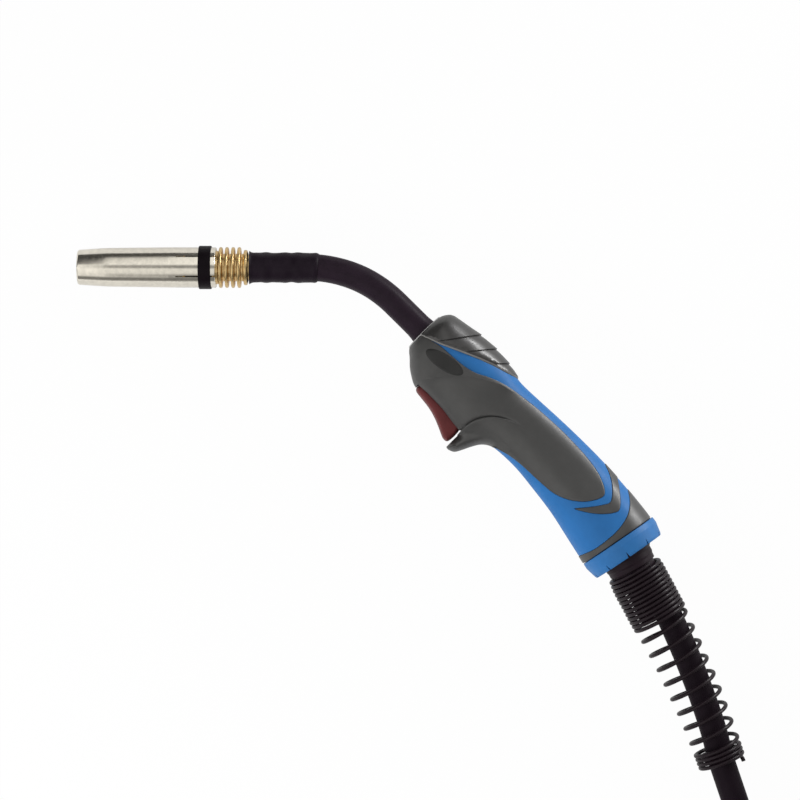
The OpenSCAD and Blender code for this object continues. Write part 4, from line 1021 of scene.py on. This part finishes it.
head = [(7.2, NECK_FRONT + 0.05), (7.7, NECK_FRONT + 0.05), (7.7, NECK_FRONT + 0.6),
        (8.6, NECK_FRONT + 0.8, 0.3), (10.6, NECK_FRONT + 1.4, 0.8), (10.6, NECK_FRONT + 3.2, 0.8),
        (8.3, NECK_FRONT + 3.5, 0.4)]
FINS, FIN_FROM, FIN_PITCH = 4, NECK_FRONT + 6.1, 3.7
for k in range(FINS):
    z = FIN_FROM + FIN_PITCH * k
    head += [(8.3, z - 1.1, 0.4), (12.3, z - 0.95, 0.95), (12.3, z + 0.95, 0.95),
             (8.3, z + 1.1, 0.4)]
head += [(8.3, SEAT_AT - 1.0, 0.2), (10.0, SEAT_AT - 0.9, 0.3), (10.0, SEAT_AT + 2.6),
         (7.9, SEAT_AT + 3.2), (7.9, SEAT_AT + 18.4, 0.4), (10.0, SEAT_AT + 18.6),
         (10.0, SEAT_AT + 20, 0.3), (7.2, SEAT_AT + 20)]
turned("finned_head", head, "neck", "brass", NOZZLE, ["neck_head"], n=128)

# ---- nozzle
back, r0, r1 = SEAT_AT + 0.3, 12.1, 10.45  # its rear end, and its radius there and at the mouth
nozzle = turned("nozzle_shell", [
    (10.07, back + 0.6, 0.2), (10.4, back, 0.2), (r0 - 0.5, back, 0.2), (r0, back + 0.5, 0.3),
    (r0, SEAT_AT + 28.5, 6), (11.6, MOUTH_AT - 17, 120), (r1 + 0.1, MOUTH_AT - 0.8, 0.5),
    (r1 - 0.55, MOUTH_AT, 0.35), (8.55, MOUTH_AT, 0.3), (8.0, MOUTH_AT - 0.7, 0.3),
    (8.0, MOUTH_AT - 6, 2), (10.07, MOUTH_AT - 34, 3)],
    "nozzle", "nickel", NOZZLE, ["gas_nozzle"], n=160)
wide, slot_end = 0.42, SEAT_AT + 24.0  # half a spring slot's width, and where its point starts
notch(nozzle, NOZZLE, 6, rad(30), [
    (-wide, SEAT_AT - 1), (wide, SEAT_AT - 1), (wide, slot_end), (0, slot_end + wide),
    (-wide, slot_end)], 9, 13)
turned("nozzle_ring", [
    (12.12, BAND_AT + 0.1), (BAND_D / 2 - 0.25, BAND_AT, 0.3), (BAND_D / 2, BAND_AT + 0.5, 0.4),
    (BAND_D / 2, BAND_AT + BAND_LEN - 0.5, 0.4), (BAND_D / 2 - 0.25, BAND_AT + BAND_LEN, 0.3),
    (12.12, BAND_AT + BAND_LEN - 0.1)],
    "nozzle", "black_band", NOZZLE, ["nozzle_band"], "band_black", 128)

# ---- coil straps and plug
TIE_W, TIE_ANGLES = 18.0, (-25, 155)
across = [(-TIE_W / 2, 0.0), (-TIE_W / 2, 0.9), (-TIE_W / 2 + 0.6, 1.0), (TIE_W / 2 - 0.6, 1.0),
          (TIE_W / 2, 0.9), (TIE_W / 2, 0.0)]  # the strap's section: (across, height)
snug = CABLE_D / 2 + 0.7
for number, a in enumerate(TIE_ANGLES):
    first = (a - COIL_FROM) % 360 / 360
    turns = [coil_at(first + k) for k in range(int(COIL_TURNS - first) + 1)]
    discs = [Vector((math.hypot(p.x - COIL_CENTRE[0], p.y - COIL_CENTRE[1]) + snug * cos(t),
                     p.z + snug * sin(t))) for p in turns for t in np.linspace(0, TAU, 33)[:-1]]
    loop = [discs[i] for i in convex_hull_2d(discs)]
    centre = sum(loop, Vector((0, 0))) / len(loop)
    v = []
    for i, p in enumerate(loop):
        t = (loop[(i + 1) % len(loop)] - loop[i - 1]).normalized()
        out = Vector((t.y, -t.x))
        if out.dot(p - centre) < 0:
            out = -out
        for y, h in across:
            q = p + out * (h - 0.5)
            v.append((q.x, y, max(q.y, 0.02)))
    place = SCALE @ shift((*COIL_CENTRE, 0)) @ spin(rad(a), 4, "Z")
    tie = mesh(f"coil_strap_{number + 1}", v, between(len(loop), len(across), True), "hose",
               "strap_grey", place, [] if number else ["coil_ties"], "web_grey", 40)
    clean(tie.data, outward=True)

PLUG = SCALE @ shift(plug_at) @ spin(rad(COIL_TO + 180), 4, "Z") @ spin(pi / 2, 4, "X")
BOOT_LEN, RIBS, RIB_PITCH = 46.0, 6, 6.2
boot = [(CABLE_BORE, 0.2), (9.6, 0.2, 0.6)]
for k in range(RIBS):
    z, r = 5 + k * RIB_PITCH, 11.2 + k * 0.95
    boot += [(r - 1.6, z, 0.6), (r, z + 0.5, 0.7), (r, z + 2.9, 0.7), (r - 1.5, z + 3.4, 0.6)]
boot += [(16.4, BOOT_LEN - 4, 0.5), (17.2, BOOT_LEN - 3.6, 0.6), (17.2, BOOT_LEN - 0.1, 0.5),
         (10.2, BOOT_LEN - 0.1), (10.2, BOOT_LEN - 7.9), (CABLE_BORE, BOOT_LEN - 7.9)]
boot = turned("strain_boot", boot, "hose", "cable_black", PLUG, ["connector_boot"], "boot_black",
              72, 32)

# ---- finishes of the CAD's pieces
for look, names in {
    "copper": "contact_tip", "ceramic": "gas_diffuser", "cable_black": "inner_cable",
    "brass": "tip_holder neck_spigot swivel_socket connector_core contact_pin_upper "
             "contact_pin_lower",
    "steel": "neck_tube wire_liner spigot_clip trigger_pin trigger_spring",
    "seal_black": "spigot_oring connector_oring", "boot_black": "switch_body",
    "plug_grey": "connector_body connector_nut", "ivory": "switch_plunger switch_wires ball_liner",
}.items():
    for name in names.split():
        for s in nodes[name].material_slots:
            s.material = looks[look]

# ---- floor and light
FLOOR = 40  # metres from the middle to each edge, so that low views see no edge
data = bpy.data.meshes.new("floor")
data.from_pydata([(-FLOOR, -FLOOR, 0), (FLOOR, -FLOOR, 0), (FLOOR, FLOOR, 0), (-FLOOR, FLOOR, 0)],
                 [], [(0, 1, 2, 3)])
placed("floor", data)
scene.view_settings.view_transform = "Standard"

paper = bpy.data.materials.new("paper")
paper.use_nodes = True
nt = paper.node_tree
bsdf = fed(nt, nt.nodes["Principled BSDF"], {
    "Base Color": (0.92, 0.92, 0.92, 1), "Roughness": 0.9, "Specular IOR Level": 0.1})
rays = nt.nodes.new("ShaderNodeLightPath").outputs
white = node(nt, "Emission", {"Color": (1, 1, 1, 1)})
camera_share, glossy_share = (
    node(nt, "Math", {0: rays[ray], 1: level}, "MULTIPLY").outputs[0]
    for ray, level in (("Is Camera Ray", 0.97), ("Is Glossy Ray", 0.36)))
share = node(nt, "Math", {0: camera_share, 1: glossy_share}, "MAXIMUM")
mix = node(nt, "MixShader", {0: share.outputs[0], 1: bsdf.outputs[0], 2: white.outputs[0]})
fed(nt, nt.nodes["Material Output"], {0: mix.outputs[0]})
data.materials.append(paper)

world = bpy.data.worlds.new("studio")
scene.world = world
world.use_nodes = True
nt = world.node_tree
facing = nt.nodes.new("ShaderNodeTexCoord").outputs["Generated"]


def towards(direction):
    """How far a ray points in a direction."""
    return node(nt, "VectorMath", {0: facing, 1: direction}, "DOT_PRODUCT").outputs["Value"]


def banded(side, bands):
    """The tent's brightness by the angle from overhead towards one side of the picture."""
    turn = node(nt, "Math", {0: towards(side), 1: towards((0, 0, 1))}, "ARCTAN2")
    spread = node(nt, "MapRange", {"Value": turn.outputs[0], "From Min": -pi, "From Max": pi})
    ramp = node(nt, "ValToRGB", {"Fac": spread.outputs["Result"]})
    stops = ramp.color_ramp.elements
    while len(stops) < len(bands):
        stops.new(0.5)
    for stop, (deg, level) in zip(stops, bands):
        stop.position = (deg + 180) / 360
        stop.color = (level, level, level, 1)
    return ramp.outputs["Color"]


lengthwise = banded(tuple(up), [  # what straight walls mirror
    (-180, 0.60), (-90, 0.55), (-80, 0.20), (-50, 0.20), (-36, 0.80), (-10, 0.88), (-4, 0.30),
    (8, 0.30), (16, 1.05), (56, 1.05), (68, 0.17), (106, 0.12), (114, 0.55), (180, 0.55)])
conewise = banded(tuple(up), [  # what the nozzle's cone mirrors
    (-180, 0.60), (-90, 0.55), (-82, 0.20), (-68, 0.20), (-58, 0.85), (-20, 1.1), (10, 1.05),
    (22, 0.18), (60, 0.06), (106, 0.10), (114, 0.55), (180, 0.55)])
turned_away = banded(tuple(right), [(-180, 0), (-100, 0), (-90, 1), (-19, 1), (-9, 0), (180, 0)])
sideways = banded(tuple(right), [
    (-180, 1), (8, 1), (13, 0.3), (34, 0.3), (50, 1.0), (80, 1.2), (110, 1), (180, 1)])
choice = node(nt, "Mix", {"Factor": turned_away, "A": lengthwise, "B": conewise}, data_type="RGBA")
both = node(nt, "VectorMath", {0: choice.outputs["Result"], 1: sideways}, "MULTIPLY")
WARM = (1, 0.985, 0.955)
warm = node(nt, "VectorMath", {0: both.outputs["Vector"], 1: WARM}, "MULTIPLY")
fed(nt, nt.nodes["Background"], {"Color": warm.outputs["Vector"], "Strength": 1.0})


def strip(name, side, low, at_x, length, width, power, mirrored):
    """A long soft lamp a metre beside the handle, at an angle above the bench."""
    data = bpy.data.lights.new(name, "AREA")
    data.shape, data.size, data.size_y, data.energy = "RECTANGLE", length, width, power
    o = placed(name, data)
    reach = side * cos(rad(low)) + Vector((0, 0, sin(rad(low))))
    along = side.cross(Vector((0, 0, 1)))
    o.visible_glossy = mirrored
    o.location = Vector((at_x, 0.04, 0.02)) + reach
    o.rotation_euler = Matrix((along, reach.cross(along), reach)).transposed().to_euler()


back_side = Vector((0, 1, 0))
strip("key", back_side, 8, 0.08, 0.8, 0.14, 7.5, True)
strip("fill", -back_side, 24, -0.05, 0.7, 0.25, 5.0, False)
